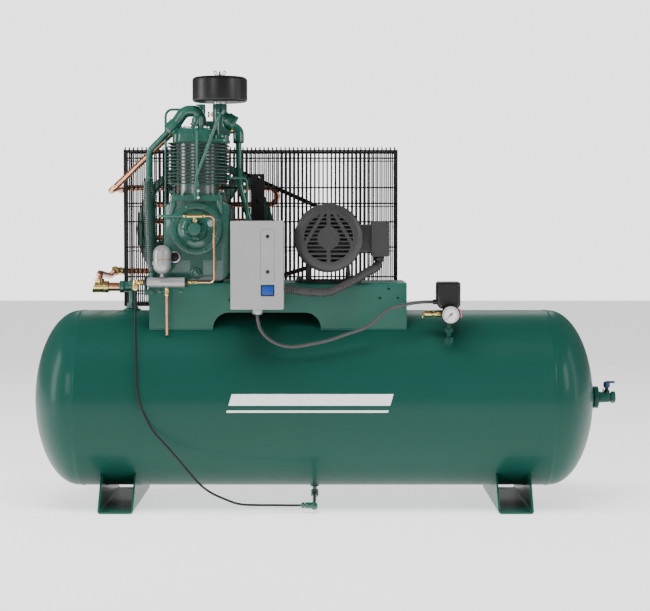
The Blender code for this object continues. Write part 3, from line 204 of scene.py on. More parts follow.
# ---------------------------------------------------------------- shapes: (points, faces)
AXES = {"X": Vector((1, 0, 0)), "Y": Vector((0, 1, 0)), "Z": Vector((0, 0, 1)), "-X": Vector((-1, 0, 0)),
    "-Y": Vector((0, -1, 0)), "-Z": Vector((0, 0, -1))}


def metres(numbers, at):
    """Millimetres in one row, as tuples of metres from the point at."""
    lengths = [round(number / 1000, 7) for number in numbers]
    rows = zip(*(lengths[k::len(at)] for k in range(len(at))))
    return [tuple(length + start for length, start in zip(row, at)) for row in rows]


def pairs(*numbers, at=(0, 0)):
    """Points of two numbers each, such as a turned profile's radius and height."""
    return metres(numbers, at)


def triples(*numbers, at=(0, 0, 0)):
    """Points of three numbers each."""
    return metres(numbers, at)


def skin(rings, closed=False):
    """A closed skin through rings of points. A ring of one point is a pole."""
    points, loops, faces = [], [], []
    for ring in rings:
        loops.append(range(len(points), len(points) + len(ring)))
        points += [Vector(point) for point in ring]
    bands = list(zip(loops, loops[1:])) + ([(loops[-1], loops[0])] if closed else [])
    for low, high in bands:
        count = max(len(low), len(high))
        for i in range(count):
            j = (i + 1) % count
            corners = (low[i % len(low)], low[j % len(low)], high[j % len(high)], high[i % len(high)])
            faces.append(list(dict.fromkeys(corners)))
    if not closed:
        faces += [list(end) for end in (loops[0], loops[-1]) if len(end) > 2]
    return points, faces


def prism(outline, axis, start, end):
    """An outline, given across an axis, drawn out along it."""
    across = {"X": ("Y", "Z"), "Y": ("X", "Z"), "Z": ("X", "Y")}[axis]
    a, b = (AXES[name] for name in across)
    return skin([[a * u + b * v + AXES[axis] * h for u, v in outline] for h in (start, end)])


def box(low, high):
    outline = [(low[0], low[1]), (high[0], low[1]), (high[0], high[1]), (low[0], high[1])]
    return prism(outline, "Z", low[2], high[2])


def spun(profile, place, along="Z", sides=48, closed=False, turn=0.5):
    """A profile of (radius, height) points turned about a line through place."""
    along = AXES.get(along, along) if isinstance(along, str) else Vector(along).normalized()
    side = (AXES["Z"].cross(along) if abs(along.z) < 0.9 else AXES["X"].copy()).normalized()
    other = along.cross(side)
    place = Vector(place)
    rings = []
    for radius, height in profile:
        middle = place + along * height
        turns = [2 * math.pi * (i + turn) / sides for i in range(sides)]
        ring = [middle + (side * math.cos(t) + other * math.sin(t)) * radius for t in turns]
        rings.append([middle] if radius == 0 else ring)
    return skin(rings, closed)


def rod(radius, axis, place, start, end, sides=32):
    """A round bar along X, Y or Z, between two heights on that axis."""
    centre = Vector(place)
    centre["XYZ".index(axis)] = 0
    return spun([(radius, start), (radius, end)], centre, axis, sides)


def sweep(stations, sides=16, closed=False):
    """A round bar through (point, radius) stations, kept from twisting on the way."""
    points = [Vector(point) for point, _ in stations]
    rings, side = [], None
    for i, (_, radius) in enumerate(stations):
        before = points[i - 1] if i > 0 or closed else points[0]
        after = points[(i + 1) % len(points)] if i + 1 < len(points) or closed else points[-1]
        along = (after - before).normalized()
        if side is None:
            side = along.orthogonal().normalized()
        side = (side - along * side.dot(along)).normalized()
        other = along.cross(side)
        turns = [2 * math.pi * (k + 0.5) / sides for k in range(sides)]
        rings.append([points[i] + (side * math.cos(t) + other * math.sin(t)) * radius for t in turns])
    return skin(rings, closed)


def bent(corners, bend, steps=8):
    """The points of a bent pipe: straight runs, with an arc of radius bend at each corner."""
    corners = [Vector(corner) for corner in corners]
    route = [corners[0]]
    for before, corner, after in zip(corners, corners[1:], corners[2:]):
        inward, outward = (before - corner).normalized(), (after - corner).normalized()
        half = inward.angle(outward) / 2
        reach = min(bend / math.tan(half), (before - corner).length * 0.48, (after - corner).length * 0.48)
        middle = corner + (inward + outward).normalized() * reach / math.cos(half)
        first, last = corner + inward * reach - middle, corner + outward * reach - middle
        for k in range(steps + 1):
            route.append(middle + first.normalized().slerp(last.normalized(), k / steps) * first.length)
    return route + [corners[-1]]


def pipe(corners, radius, bend, sides=16, steps=8):
    return sweep([(point, radius) for point in bent(corners, bend, steps)], sides)


def arc(centre, radius, start, end, steps):
    turns = [math.radians(start + (end - start) * k / steps) for k in range(steps + 1)]
    return [(centre[0] + radius * math.cos(t), centre[1] + radius * math.sin(t)) for t in turns]


def rounded(low, high, radius, steps=6):
    """A rectangle's outline with rounded corners."""
    outline = []
    for x, y, start in ((high[0] - radius, high[1] - radius, 0), (low[0] + radius, high[1] - radius, 90),
            (low[0] + radius, low[1] + radius, 180), (high[0] - radius, low[1] + radius, 270)):
        outline += arc((x, y), radius, start, start + 90, steps)
    return outline


def smooth(route, spacing):
    """Points at an even spacing on one smooth curve through a route."""
    route = [Vector(point) for point in route]
    ends = [route[0] * 2 - route[1]] + route + [route[-1] * 2 - route[-2]]
    fine = []
    for a, b, c, d in zip(ends, ends[1:], ends[2:], ends[3:]):
        for t in (k / 12 for k in range(12)):
            fine.append(0.5 * (2 * b + (c - a) * t + (2 * a - 5 * b + 4 * c - d) * t ** 2
                + (3 * b - a - 3 * c + d) * t ** 3))
    fine.append(route[-1])
    lengths = [0.0]
    for a, b in zip(fine, fine[1:]):
        lengths.append(lengths[-1] + (b - a).length)
    count = max(2, round(lengths[-1] / spacing))
    points, k = [], 0
    for i in range(count + 1):
        target = lengths[-1] * i / count
        while k < len(fine) - 2 and lengths[k + 1] < target:
            k += 1
        share = (target - lengths[k]) / (lengths[k + 1] - lengths[k])
        points.append(fine[k].lerp(fine[k + 1], min(1.0, share)))
    return points


def moved(shape, matrix):
    return [matrix @ point for point in shape[0]], shape[1]


def merged(*shapes):
    """Several shapes as one."""
    points, faces = [], []
    for part_points, part_faces in shapes:
        start = len(points)
        points += part_points
        faces += [[i + start for i in face] for face in part_faces]
    return points, faces


def to_mesh(name, groups):
    """One mesh of (material, shapes) groups."""
    mesh = bpy.data.meshes.new(name)
    work = bmesh.new()
    for index, (material, shapes) in enumerate(groups):
        mesh.materials.append(material)
        for points, faces in shapes:
            verts = [work.verts.new(point) for point in points]
            for face in faces:
                work.faces.new([verts[i] for i in face]).material_index = index
    bmesh.ops.recalc_face_normals(work, faces=work.faces)
    work.to_mesh(mesh)
    work.free()
    return mesh


def carved(shape, *cutters, keep=()):
    """A shape with cutters taken out of it, after keeping only what lies inside other shapes."""
    base = bpy.data.objects.new("blank", to_mesh("blank", [(None, [shape])]))
    tools = [base]
    for operation, tool_shape in [("INTERSECT", s) for s in keep] + [("DIFFERENCE", s) for s in cutters]:
        tool = bpy.data.objects.new("tool", to_mesh("tool", [(None, [tool_shape])]))
        step = base.modifiers.new("step", "BOOLEAN")
        step.operation, step.object, step.solver = operation, tool, "EXACT"
        tools.append(tool)
    for item in tools:
        bpy.context.scene.collection.objects.link(item)
    bpy.context.view_layer.update()
    done = base.evaluated_get(bpy.context.evaluated_depsgraph_get()).to_mesh()
    result = [v.co.copy() for v in done.vertices], [list(p.vertices) for p in done.polygons]
    for item in tools:
        bpy.data.objects.remove(item, do_unlink=True)
    return result


def piece(name, node, groups, body="machine", bevel=0.0, sharp=38):
    """A finished piece of (material, shapes) groups, which replaces a node and rides on a body."""
    mesh = to_mesh(name, groups)
    mesh.shade_smooth()
    mesh.set_sharp_from_angle(angle=math.radians(sharp))
    item = bpy.data.objects.new(name, mesh)
    item.location = (0, Y0, 0)
    bpy.context.scene.collection.objects.link(item)
    if bevel:
        edge = item.modifiers.new("edges", "BEVEL")
        edge.width, edge.segments, edge.limit_method = bevel, 2, "ANGLE"
        edge.angle_limit = math.radians(sharp)
        edge.harden_normals = True
    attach(item, body)
    if node:
        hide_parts(node)
    return item


# ---------------------------------------------------------------- fasteners and fittings
def hexagon(place, along, radius, height, chamfer=0.15):
    """A chamfered hexagon standing on place."""
    cut = radius * chamfer
    profile = [(radius, 0), (radius, height - cut * 0.6), (radius - cut, height)]
    return spun(profile, place, along, 6)


def bolt(place, along, radius=0.0058, height=0.0048, washer=True, stud=0.0):
    """A hex head, or a nut on a stud, with a washer under it."""
    direction = AXES[along] if isinstance(along, str) else Vector(along).normalized()
    place = Vector(place)
    shapes = [hexagon(place + direction * 0.001, direction, radius, height)]
    if washer:
        shapes.append(spun([(radius * 1.3, 0), (radius * 1.3, 0.0012)], place, direction, 24))
    if stud:
        shapes.append(spun([(radius * 0.52, 0), (radius * 0.52, height + stud - 0.001),
            (radius * 0.4, height + stud)], place, direction, 16))
    return shapes


def union_nut(place, along, radius, length, pipe_radius):
    """A compression nut on a tube: a hexagon with a rounded collar on the tube's side."""
    direction = AXES[along] if isinstance(along, str) else Vector(along).normalized()
    collar = [(radius * 0.92, length * 0.6), (radius * 0.86, length * 0.85), (pipe_radius * 1.15, length)]
    return [hexagon(place, direction, radius, length * 0.62), spun([(pipe_radius * 0.9, 0)] + collar,
        place, direction, 24)]


# ---------------------------------------------------------------- floor
floor = bpy.data.objects.new("floor",
    to_mesh("floor", [(FLOOR, [prism(rounded((-14, -14), (14, 14), 3.0), "Z", -0.05, 0)])]))
bpy.context.scene.collection.objects.link(floor)


# ---------------------------------------------------------------- cords
def line(name, node, route, diameter, spacing, material, ridge=0.0, pitch=0.0, sides=14):
    """A free line along a route, smooth or corrugated."""
    points = smooth(route, spacing)
    length = sum((b - a).length for a, b in zip(points, points[1:]))
    if ridge:
        fall = (0, 0, 0.35, 1, 1, 0.35)
        stations = [(p, diameter / 2 - ridge * fall[k % 6])
            for k, p in enumerate(smooth(points, pitch / 6))]
    else:
        stations = [(p, diameter / 2) for p in points]
    item = piece(name, node, [(material, [sweep(stations, sides)])])
    place = [list(p + Vector((0, Y0, 0))) for p in points]
    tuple(place[0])
    return item


HOSE = [(-0.5318, -0.175, 0.6213), (-0.5318, -0.176, 0.608), (-0.5312, -0.182, 0.575),
    (-0.5297, -0.202, 0.5179), (-0.5247, -0.236, 0.4396), (-0.5223, -0.253, 0.3884),
    (-0.5185, -0.263, 0.3425), (-0.5092, -0.266, 0.3043), (-0.4959, -0.267, 0.2741),
    (-0.475, -0.268, 0.2356), (-0.443, -0.268, 0.1999), (-0.4116, -0.268, 0.1641),
    (-0.3797, -0.268, 0.1256), (-0.3483, -0.266, 0.0899), (-0.3171, -0.262, 0.0648),
    (-0.2814, -0.255, 0.0466), (-0.2444, -0.245, 0.0312), (-0.2078, -0.235, 0.0257),
    (-0.1389, -0.222, 0.023), (-0.0974, -0.216, 0.0216), (-0.0679, -0.215, 0.0215)]
CONDUIT = [(0.1528, -0.105, 0.715), (0.1526, -0.105, 0.697), (0.142, -0.12, 0.684), (0.1144, -0.155, 0.67),
    (0.0782, -0.18, 0.649), (0.0388, -0.195, 0.629), (0.0036, -0.205, 0.618), (-0.0434, -0.215, 0.619),
    (-0.08, -0.222, 0.6238), (-0.1, -0.224, 0.6262), (-0.1125, -0.224, 0.6268)]
CABLE = [(-0.187, -0.24, 0.557), (-0.1867, -0.24, 0.544), (-0.179, -0.24, 0.516), (-0.16, -0.24, 0.4931),
    (-0.1281, -0.24, 0.4746), (-0.0913, -0.24, 0.468), (-0.0429, -0.238, 0.4742), (0.0111, -0.235, 0.4859),
    (0.0593, -0.23, 0.5019), (0.1016, -0.225, 0.5152), (0.1317, -0.22, 0.5313), (0.1558, -0.215, 0.555),
    (0.183, -0.209, 0.572), (0.2288, -0.2, 0.5841), (0.2657, -0.19, 0.5895), (0.295, -0.181, 0.5902),
    (0.3118, -0.18, 0.5902)]
line("hose_line", "drain_hose", HOSE, 0.0064, 0.012, RUBBER)
line("cable_line", "switch_cable", CABLE, 0.0096, 0.011, CABLE_GREY)
line("conduit_line", "motor_conduit", CONDUIT, 0.0248, 0.0085, CONDUIT_GREY, ridge=0.0019,
    pitch=0.006, sides=22)

# ---------------------------------------------------------------- tank
TANK_R, TANK_X0, TANK_X1, TANK_Z, HEAD = 0.254, -0.8375, 0.7755, 0.3045, 0.127


def tank_top(y, side=1):
    """Height of the tank's skin at a distance from its axis."""
    return TANK_Z + side * math.sqrt(TANK_R ** 2 - y * y)


def bead(points, radius=0.0026, closed=True, sides=8):
    """A weld bead with a slow ripple along it."""
    return sweep([(p, radius * (1.0 + 0.12 * math.sin(2.1 * k))) for k, p in enumerate(points)], sides,
        closed)


def ring_on_tank(x, y, radius, side=1, steps=44):
    """Points where an upright round bar meets the tank."""
    turns = (2 * math.pi * k / steps for k in range(steps))
    spots = [(x + radius * math.cos(t), y + radius * math.sin(t)) for t in turns]
    return [Vector((a, b, tank_top(b, side))) for a, b in spots]


def build_tank():
    profile = [(0, TANK_X0)]
    for k in range(1, 25):
        turn = math.radians(90 * k / 24)
        profile.append((TANK_R * math.sin(turn), TANK_X0 + HEAD * (1 - math.cos(turn))))
    for seam in (-0.699, 0.638):
        profile += pairs(0, -5.5, 1, -3.5, 1.4, 0, 1, 3.5, 0, 5.5, at=(TANK_R, seam))
    for k in range(25):
        turn = math.radians(90 - 82 * k / 24)
        profile.append((TANK_R * math.sin(turn), TANK_X1 - HEAD * (1 - math.cos(turn))))
    profile += pairs(33, 775.2, 31.8, 778.2, 30, 778.8, 10.5, 778.8, 10.5, 760, 0, 760)
    shell = spun(profile, (0, 0, TANK_Z), "X", 160)
    boss = spun(pairs(0, 462, 15, 462, 15, 488, 13.8, 490.5, 0, 490.5), (0.347, -0.182, 0), "Z", 40)
    pad = spun(pairs(0, 546, 23, 546, 23, 561.5, 21.5, 563.5, 0, 563.5), (-0.5605, 0, 0), "Z", 48)
    drain = spun(pairs(0, 62, 12.5, 62, 12.5, 45.5, 11.5, 44.5, 0, 44.5), (-0.03, 0, 0), "Z", 32)
    welds = [bead(ring_on_tank(0.347, -0.182, 0.0152)), bead(ring_on_tank(-0.5605, 0, 0.0232), 0.003),
        bead(ring_on_tank(-0.03, 0, 0.0127, -1))]
    piece("tank_shell", "air_tank", [(TANK_GREEN, [shell, boss, pad, drain] + welds)])

    # A plain stripe, in two slanted bars, on the tank's front
    bars = []
    for low, high, left, right in ((0.2, 7.4, -0.268, 0.18), (-4.2, -2.8, -0.268, 0.18)):
        rings = []
        for k in range(9):
            turn = math.radians(low + (high - low) * k / 8)
            y, z = -math.cos(turn), math.sin(turn)
            lean = 0.3 * (z * TANK_R)
            rings.append((y, z, lean))
        outer = [[Vector((left + e, y * r, TANK_Z + z * r)) for r in (0.2536, 0.25435)]
            + [Vector((right + e, y * r, TANK_Z + z * r)) for r in (0.25435, 0.2536)] for y, z, e in rings]
        bars.append(skin(outer))
    piece("tank_stripe", None, [(STRIPE, bars)])


def build_feet():
    for name, centre in (("foot_left", -0.585), ("foot_right", 0.533)):
        half, sheet, height, bend = 0.05, 0.0055, 0.18, 0.01
        inner = half - sheet
        outline = [(half, height)] + arc((half - bend, bend), bend, 0, -90, 6)
        outline += arc((-half + bend, bend), bend, -90, -180, 6) + [(-half, height), (-inner, height)]
        outline += arc((-half + bend, bend), bend - sheet, 180, 270, 5)
        outline += arc((half - bend, bend), bend - sheet, -90, 0, 5) + [(inner, height)]
        channel = prism([(centre + a, b) for a, b in outline], "Y", -0.24, 0.24)
        side_view = pairs(-240, -1, 240, -1, 240, 4.5, 155, 102.5, 120, 140, -120, 140, -155, 102.5, -240,
            4.5)
        cutters = [rod(TANK_R + 0.0004, "X", (0, 0, TANK_Z), centre - 0.07, centre + 0.07, 144)]
        for side in (-1, 1):
            slot = rounded((centre - 0.018, side * 0.215 - 0.007), (centre + 0.018, side * 0.215 + 0.007),
                0.0069)
            cutters.append(prism(slot, "Z", -0.01, 0.01))
        if name == "foot_left":
            cutters.append(rod(0.004, "X", (0, -0.18, 0.05), centre - 0.07, centre + 0.07, 20))
        foot = carved(channel, *cutters, keep=[prism(side_view, "X", centre - 0.06, centre + 0.06)])
        welds = []
        for x in (centre - half + sheet / 2, centre + half - sheet / 2):
            turns = [math.radians(-36.5 + 73 * k / 60) for k in range(61)]
            welds.append(bead([(x, TANK_R * math.sin(t), TANK_Z - (TANK_R + 0.0008) * math.cos(t))
                for t in turns], 0.0034, closed=False))
        piece(name + "_channel", name, [(SHEET_GREEN, [foot] + welds)], bevel=0.0008)


def build_platform():
    half, sheet, top, bend = 0.15, 0.005, 0.642, 0.008
    outline = [(half, 0.5)] + arc((half - bend, top - bend), bend, 0, 90, 6)
    outline += arc((-half + bend, top - bend), bend, 90, 180, 6) + [(-half, 0.5), (-half + sheet, 0.5)]
    outline += arc((-half + bend, top - bend), bend - sheet, 180, 90, 5)
    outline += arc((half - bend, top - bend), bend - sheet, 90, 0, 5) + [(half - sheet, 0.5)]
    left, right, roof, corner = -0.3163, -0.0116, 0.5585, 0.045
    arch = [(left, 0.48)] + arc((left + corner, roof - corner), corner, 180, 90, 14)
    arch += arc((right - corner, roof - corner), corner, 90, 0, 14) + [(right, 0.48)]
    cutters = [rod(TANK_R + 0.0004, "X", (0, 0, TANK_Z), -0.6, 0.3, 144), prism(arch, "Y", -0.2, 0.2)]
    for x, z in pairs(179.7, 625.7, 155.3, 600, 206.3, 600, -269.6, 593.6):
        cutters.append(rod(0.0036, "Y", (x, 0, z), -0.16, -0.14, 20))
    saddle = carved(prism(outline, "X", -0.4965, 0.231), *cutters)
    extra = []
    for x in (-0.466, -0.407):
        extra.append(spun(pairs(0, -1, 5.2, -1, 5.2, 1, 3.6, 2.2, 0, 2.4), (x, -half, 0.619), "-Y", 24))
    for x, y in pairs(-448, -112, -280, -112, -448, 112, -280, 112, -75, -105, 95, -105, -75, 60, 95, 60):
        extra += bolt((x, y, top + (0.007 if x > -0.2 else 0.0)), "Z", 0.0075, 0.006)
    welds = []
    for side in (-1, 1):
        y = side * (half - 0.0005)
        for x0, x1 in ((-0.494, -0.32), (-0.008, 0.229)):
            count = int((x1 - x0) / 0.004)
            welds.append(bead([(x0 + (x1 - x0) * k / count, y, tank_top(y) + 0.0008)
                for k in range(count + 1)], 0.003, closed=False, sides=6))
    piece("platform_saddle", "platform", [(SHEET_GREEN, [saddle] + welds),
        (CAST_GREEN, extra)], bevel=0.0009)


# ---------------------------------------------------------------- pump
PUMP_X, CRANK_Z, LOW_Y, HIGH_Y = -0.364, 0.794, -0.06, 0.075
CASE_Y0, CASE_Y1 = -0.125, 0.13
LOW_BORE, HIGH_BORE = 0.0505, 0.033


def build_crankcase():
    sight_x, sight_z = -0.4255, 0.7152
    left, right, bottom = PUMP_X - 0.093, PUMP_X + 0.093, 0.6423

    def outline(inset):
        low, corner = bottom + inset, 0.035
        points = arc((right - corner, bottom + corner), corner - inset, -90, 0, 8)
        points += [(right - inset, 0.838)] + arc((right - 0.02, 0.848), 0.02 - inset, 0, 62, 6)
        points += [(PUMP_X + 0.064 - inset, 0.88 - inset * 0.3),
            (PUMP_X - 0.064 + inset, 0.88 - inset * 0.3)]
        points += arc((left + 0.02, 0.848), 0.02 - inset, 118, 180, 6) + [(left + inset, 0.838)]
        points += arc((left + corner, bottom + corner), corner - inset, 180, 270, 8)
        return [(x, max(z, low)) for x, z in points]

    def ring(inset, y):
        return [Vector((x, y, z)) for x, z in outline(inset)]

    rings = [ring(0.006, CASE_Y0), ring(0.0018, CASE_Y0 + 0.0015), ring(0.0, CASE_Y0 + 0.006),
        ring(0.0, CASE_Y1 - 0.006), ring(0.0018, CASE_Y1 - 0.0015), ring(0.006, CASE_Y1)]
    bores = [rod(bore, "Z", (PUMP_X, y, 0), 0.8, 0.92, 48)
        for bore, y in ((LOW_BORE, LOW_Y), (HIGH_BORE, HIGH_Y))]
    cavity = [(x + (PUMP_X - x) * 0.09, bottom + 0.01 + (z - bottom) * 0.93) for x, z in outline(0.0)]
    body = carved(skin(rings), prism(cavity, "Y", CASE_Y0 + 0.009, CASE_Y1 - 0.016), *bores,
        rod(0.0535, "Y", (PUMP_X, 0, CRANK_Z), CASE_Y0 - 0.01, CASE_Y0 + 0.02, 64),
        rod(0.031, "Y", (PUMP_X, 0, CRANK_Z), CASE_Y1 - 0.03, CASE_Y1 + 0.01, 48))
    flange = prism(rounded((PUMP_X - 0.075, CASE_Y0 - 0.006), (PUMP_X + 0.075, CASE_Y1 + 0.006), 0.012),
        "Z", 0.8735, 0.8895)
    details = [carved(flange, *bores)]
    for bore, radius, y in ((LOW_BORE, 0.0645, LOW_Y), (HIGH_BORE, 0.049, HIGH_Y)):
        spigot = [(bore, 0.88), (radius, 0.88), (radius, 0.895), (bore, 0.895)]
        details.append(spun(spigot, (PUMP_X, y, 0), "Z", 72, closed=True))
    # cast shoulders under the flange, a raised panel and the oil plug's boss
    for side in (-1, 1):
        x = PUMP_X + side * 0.066
        details.append(sweep([((x, CASE_Y0 - 0.001, 0.8745), 0.009), ((x, CASE_Y0 - 0.0008, 0.86), 0.0095),
            ((x + side * 0.004, CASE_Y0 + 0.001, 0.845), 0.0075),
            ((x + side * 0.008, CASE_Y0 + 0.004, 0.833), 0.004)], 18))
    panel = pairs(-70, 705, 70, 705, 70, 760, -70, 760, at=(PUMP_X, 0))
    details.append(prism(panel, "Y", CASE_Y0 - 0.0028, CASE_Y0 + 0.004))
    tongue = [(PUMP_X - 0.018, 0.708), (PUMP_X - 0.018, 0.67)] + arc((PUMP_X, 0.67), 0.018, 180, 360, 14)
    tongue += [(PUMP_X + 0.018, 0.708)]
    details.append(prism(tongue, "Y", CASE_Y0 - 0.003, CASE_Y0 + 0.004))
    for side in (-1, 1):
        foot = rounded((PUMP_X + side * 0.085 - 0.012, CASE_Y0 + 0.004), (PUMP_X + side * 0.085 + 0.012,
            CASE_Y1 - 0.004), 0.005)
        details.append(prism(foot, "Z", 0.6423, 0.653))
    bolts = []
    for x in (-0.064, 0.064):
        for y in (CASE_Y0 + 0.004, 0.0, CASE_Y1 - 0.004):
            bolts += bolt((PUMP_X + x, y, 0.8895), "Z", 0.0056, 0.005, stud=0.004)
    piece("pump_case", "crankcase", [(CAST_GREEN, [body] + details), (CAST_GREEN, bolts)],
        bevel=0.0016)

    seat = CASE_Y0 - 0.0003
    cover = pairs(0, -1, 73.5, -1, 73.5, 9.5, 72, 11.8, 62, 12.8, 57.5, 12, 56, 9, 53, 8, 44, 15, 36, 18,
        34, 20.5, 31.5, 30, 29.5, 33.5, 25, 32.5, 23.5, 30, 19, 30, 18, 33, 18, 68, 16.5, 71.5, 0, 72.2)
    lid = spun(cover, (PUMP_X, seat, CRANK_Z), "-Y", 96)
    ring_bolts = []
    for k in range(8):
        turn = math.radians(45 * k + 22.5)
        spot = (PUMP_X + 0.0665 * math.cos(turn), seat - 0.0122, CRANK_Z + 0.0665 * math.sin(turn))
        ring_bolts += bolt(spot, "-Y", 0.0046, 0.004, washer=False)
    for k in range(5):
        turn = math.radians(72 * k - 90)
        spot = (PUMP_X + 0.024 * math.cos(turn), seat - 0.03, CRANK_Z + 0.024 * math.sin(turn))
        ring_bolts += bolt(spot, "-Y", 0.0034, 0.003, washer=False)
    for dx, dz in pairs(-5, -25, 6, -25, -5, 25, 6, 25):
        ring_bolts += bolt((PUMP_X + dx, seat - 0.032, CRANK_Z + dz), "-Y", 0.0036, 0.004, washer=False,
            stud=0.002)
    for side in (-1, 1):
        rib = box((PUMP_X + side * 0.03 - 0.01, seat - 0.0215, CRANK_Z - 0.002),
            (PUMP_X + side * 0.03 + 0.01, seat - 0.015, CRANK_Z + 0.002))
        ring_bolts.append(rib)
    piece("pump_cover", "crankcase_cover", [(CAST_GREEN, [lid]), (CAST_GREEN, ring_bolts)],
        bevel=0.0005)

    rim = spun(pairs(10.5, 0, 17.2, 0, 17.2, 10, 16, 12.8, 13.8, 13.2, 12.5, 11.5, 12, 6, 10.5, 5.5),
        (sight_x, seat, sight_z), "-Y", 48, closed=True)
    lens = spun(pairs(0, 4.5, 11.8, 4.5, 11.8, 6.2, 8, 7, 0, 7.2), (sight_x, seat, sight_z), "-Y", 40)
    piece("oil_sight", "sight_glass", [(ALLOY, [rim]), (PLASTIC, [lens])])
    plug = spun(pairs(0, 0, 16, 0, 16, 5.2, 15, 6.5, 13, 6.8, 12.2, 11, 0, 11),
        (PUMP_X, seat - 0.003, 0.669), "-Y", 40)
    head = hexagon((PUMP_X, seat - 0.0135, 0.669), "-Y", 0.0088, 0.0052)
    piece("oil_boss", "oil_plug", [(CAST_GREEN, [plug, head])], bevel=0.0004)


def build_cylinder(name, node, centre_y, bore, barrel, half_depth, lobes):
    """A finned barrel: thin cast fins with rounded corners round a plain tube."""
    tube = spun([(bore, 0.8953), (barrel, 0.8953), (barrel, 1.0397), (bore, 1.0397)],
        (PUMP_X, centre_y, 0), "Z", 72, closed=True)
    shapes = []
    first, pitch, thick = 0.9216, 0.0095, 0.003
    for k in range(13):
        z = first + pitch * k
        low, high = (PUMP_X - 0.0825, centre_y - half_depth), (PUMP_X + 0.0825, centre_y + half_depth)
        outer = rounded(low, high, 0.02, 5)
        inner = rounded((low[0] + 0.0006, low[1] + 0.0006), (high[0] - 0.0006, high[1] - 0.0006), 0.0196, 5)
        levels = ((z, inner), (z + 0.0005, outer), (z + thick - 0.0005, outer), (z + thick, inner))
        fin = skin([[Vector((x, y, h)) for x, y in ring] for h, ring in levels])
        shapes.append(carved(fin, rod(barrel - 0.002, "Z", (PUMP_X, centre_y, 0), z - 0.01, z + 0.01, 72)))
    studs = []
    for x, y in lobes:
        studs += bolt((PUMP_X + x, centre_y + y, 0.896), "Z", 0.0062, 0.0056)
    # the fins take the darker fin green, which is painted shade between them
    piece(name, node, [(GLOSS_GREEN, [tube]), (FIN_SHADED_GREEN, shapes), (CAST_GREEN, studs)])


def build_heads():
    seat = 1.0403
    slab = prism(rounded((PUMP_X - 0.068, LOW_Y - 0.07), (PUMP_X + 0.09, LOW_Y + 0.07), 0.022), "Z", seat,
        1.049)
    rings = []
    for z, inset in pairs(1044.5, 0, 1064, 0.8, 1071.5, 4, 1076.5, 11, 1080, 22, 1084, 38):
        outline = rounded((PUMP_X - 0.069 + inset, LOW_Y - 0.068 + inset),
            (PUMP_X + 0.05 - inset, LOW_Y + 0.068 - inset), 0.024 - inset * 0.45)
        rings.append([Vector((x, y, z)) for x, y in outline])
    dome = skin(rings)
    ribs = [prism(rounded((PUMP_X + 0.046, LOW_Y - 0.052), (PUMP_X + 0.088, LOW_Y + 0.052), 0.012), "Z",
        1.047, 1.06)]
    for k in range(7):
        x = PUMP_X - 0.056 + 0.0155 * k
        crest = pairs(-68.8, 1046, -68.8, 1064.5, -65.5, 1072.2, -58, 1077.8, -42, 1081.5, 42, 1081.5,
            65.5, 1072.2, 68.8, 1046, at=(LOW_Y, 0))
        ribs.append(prism(crest, "X", x - 0.0009, x + 0.0009))
    neck = spun(pairs(24, 1070, 24, 1085, 22.5, 1088, 19.5, 1089, 19.5, 1091.5), (-0.3618, LOW_Y, 0), "Z",
        48)
    bolts = []
    for x, y in pairs(-62, -58, 0, -62, 72, -58, -62, 58, 72, 58, 0, 62):
        bolts += bolt((PUMP_X + x, LOW_Y + y, 1.052 if x > 0.06 else 1.064), "Z", 0.0062, 0.0056,
            stud=0.005)
    # the tall stud and its nuts on the crown
    stud_place = (-0.353, LOW_Y - 0.036, 1.078)
    bolts += bolt(stud_place, "Z", 0.007, 0.006, stud=0.002)
    bolts.append(rod(0.0048, "Z", stud_place, 1.084, 1.108, 20))
    bolts.append(rod(0.0026, "Z", stud_place, 1.108, 1.114, 16))
    nuts = []
    for dx, dy in pairs(-12, -10, 13, -12, 20.5, 4):
        nuts += bolt((-0.353 + dx, LOW_Y - 0.034 + dy, 1.079), "Z", 0.0046, 0.0048, stud=0.003)
    piece("pump_head_low", "low_pressure_head",
        [(CAST_GREEN, [slab, dome, neck] + ribs + bolts), (ZINC, nuts)], bevel=0.001)

    slab = prism(rounded((PUMP_X - 0.062, HIGH_Y - 0.056), (PUMP_X + 0.07, HIGH_Y + 0.054), 0.02), "Z",
        seat, 1.054)
    block = prism(rounded((PUMP_X - 0.05, HIGH_Y - 0.046), (PUMP_X + 0.06, HIGH_Y + 0.046), 0.018), "Z",
        1.052, 1.07)
    stack = spun(pairs(14, 1060, 14, 1157.5, 13, 1159.7, 10.5, 1159.7, 10.5, 1150), (-0.3648, HIGH_Y, 0),
        "Z", 40)
    port = rod(0.012, "X", (0, HIGH_Y, 1.083), -0.418, -0.34, 32)
    saddle = prism(rounded((-0.39, 1.062), (-0.299, 1.11), 0.012), "Y", HIGH_Y - 0.02, HIGH_Y + 0.02)
    bolts = []
    for x in (-0.052, 0.06):
        for y in (-0.046, 0.045):
            bolts += bolt((PUMP_X + x, HIGH_Y + y, 1.054), "Z", 0.006, 0.0056, stud=0.005)
    bolts += union_nut((-0.4105, HIGH_Y, 1.083), "-X", 0.0135, 0.007, 0.0075)
    piece("pump_head_high", "high_pressure_head",
        [(CAST_GREEN, [slab, block, stack, port, saddle]), (CAST_GREEN, bolts)], bevel=0.0012)


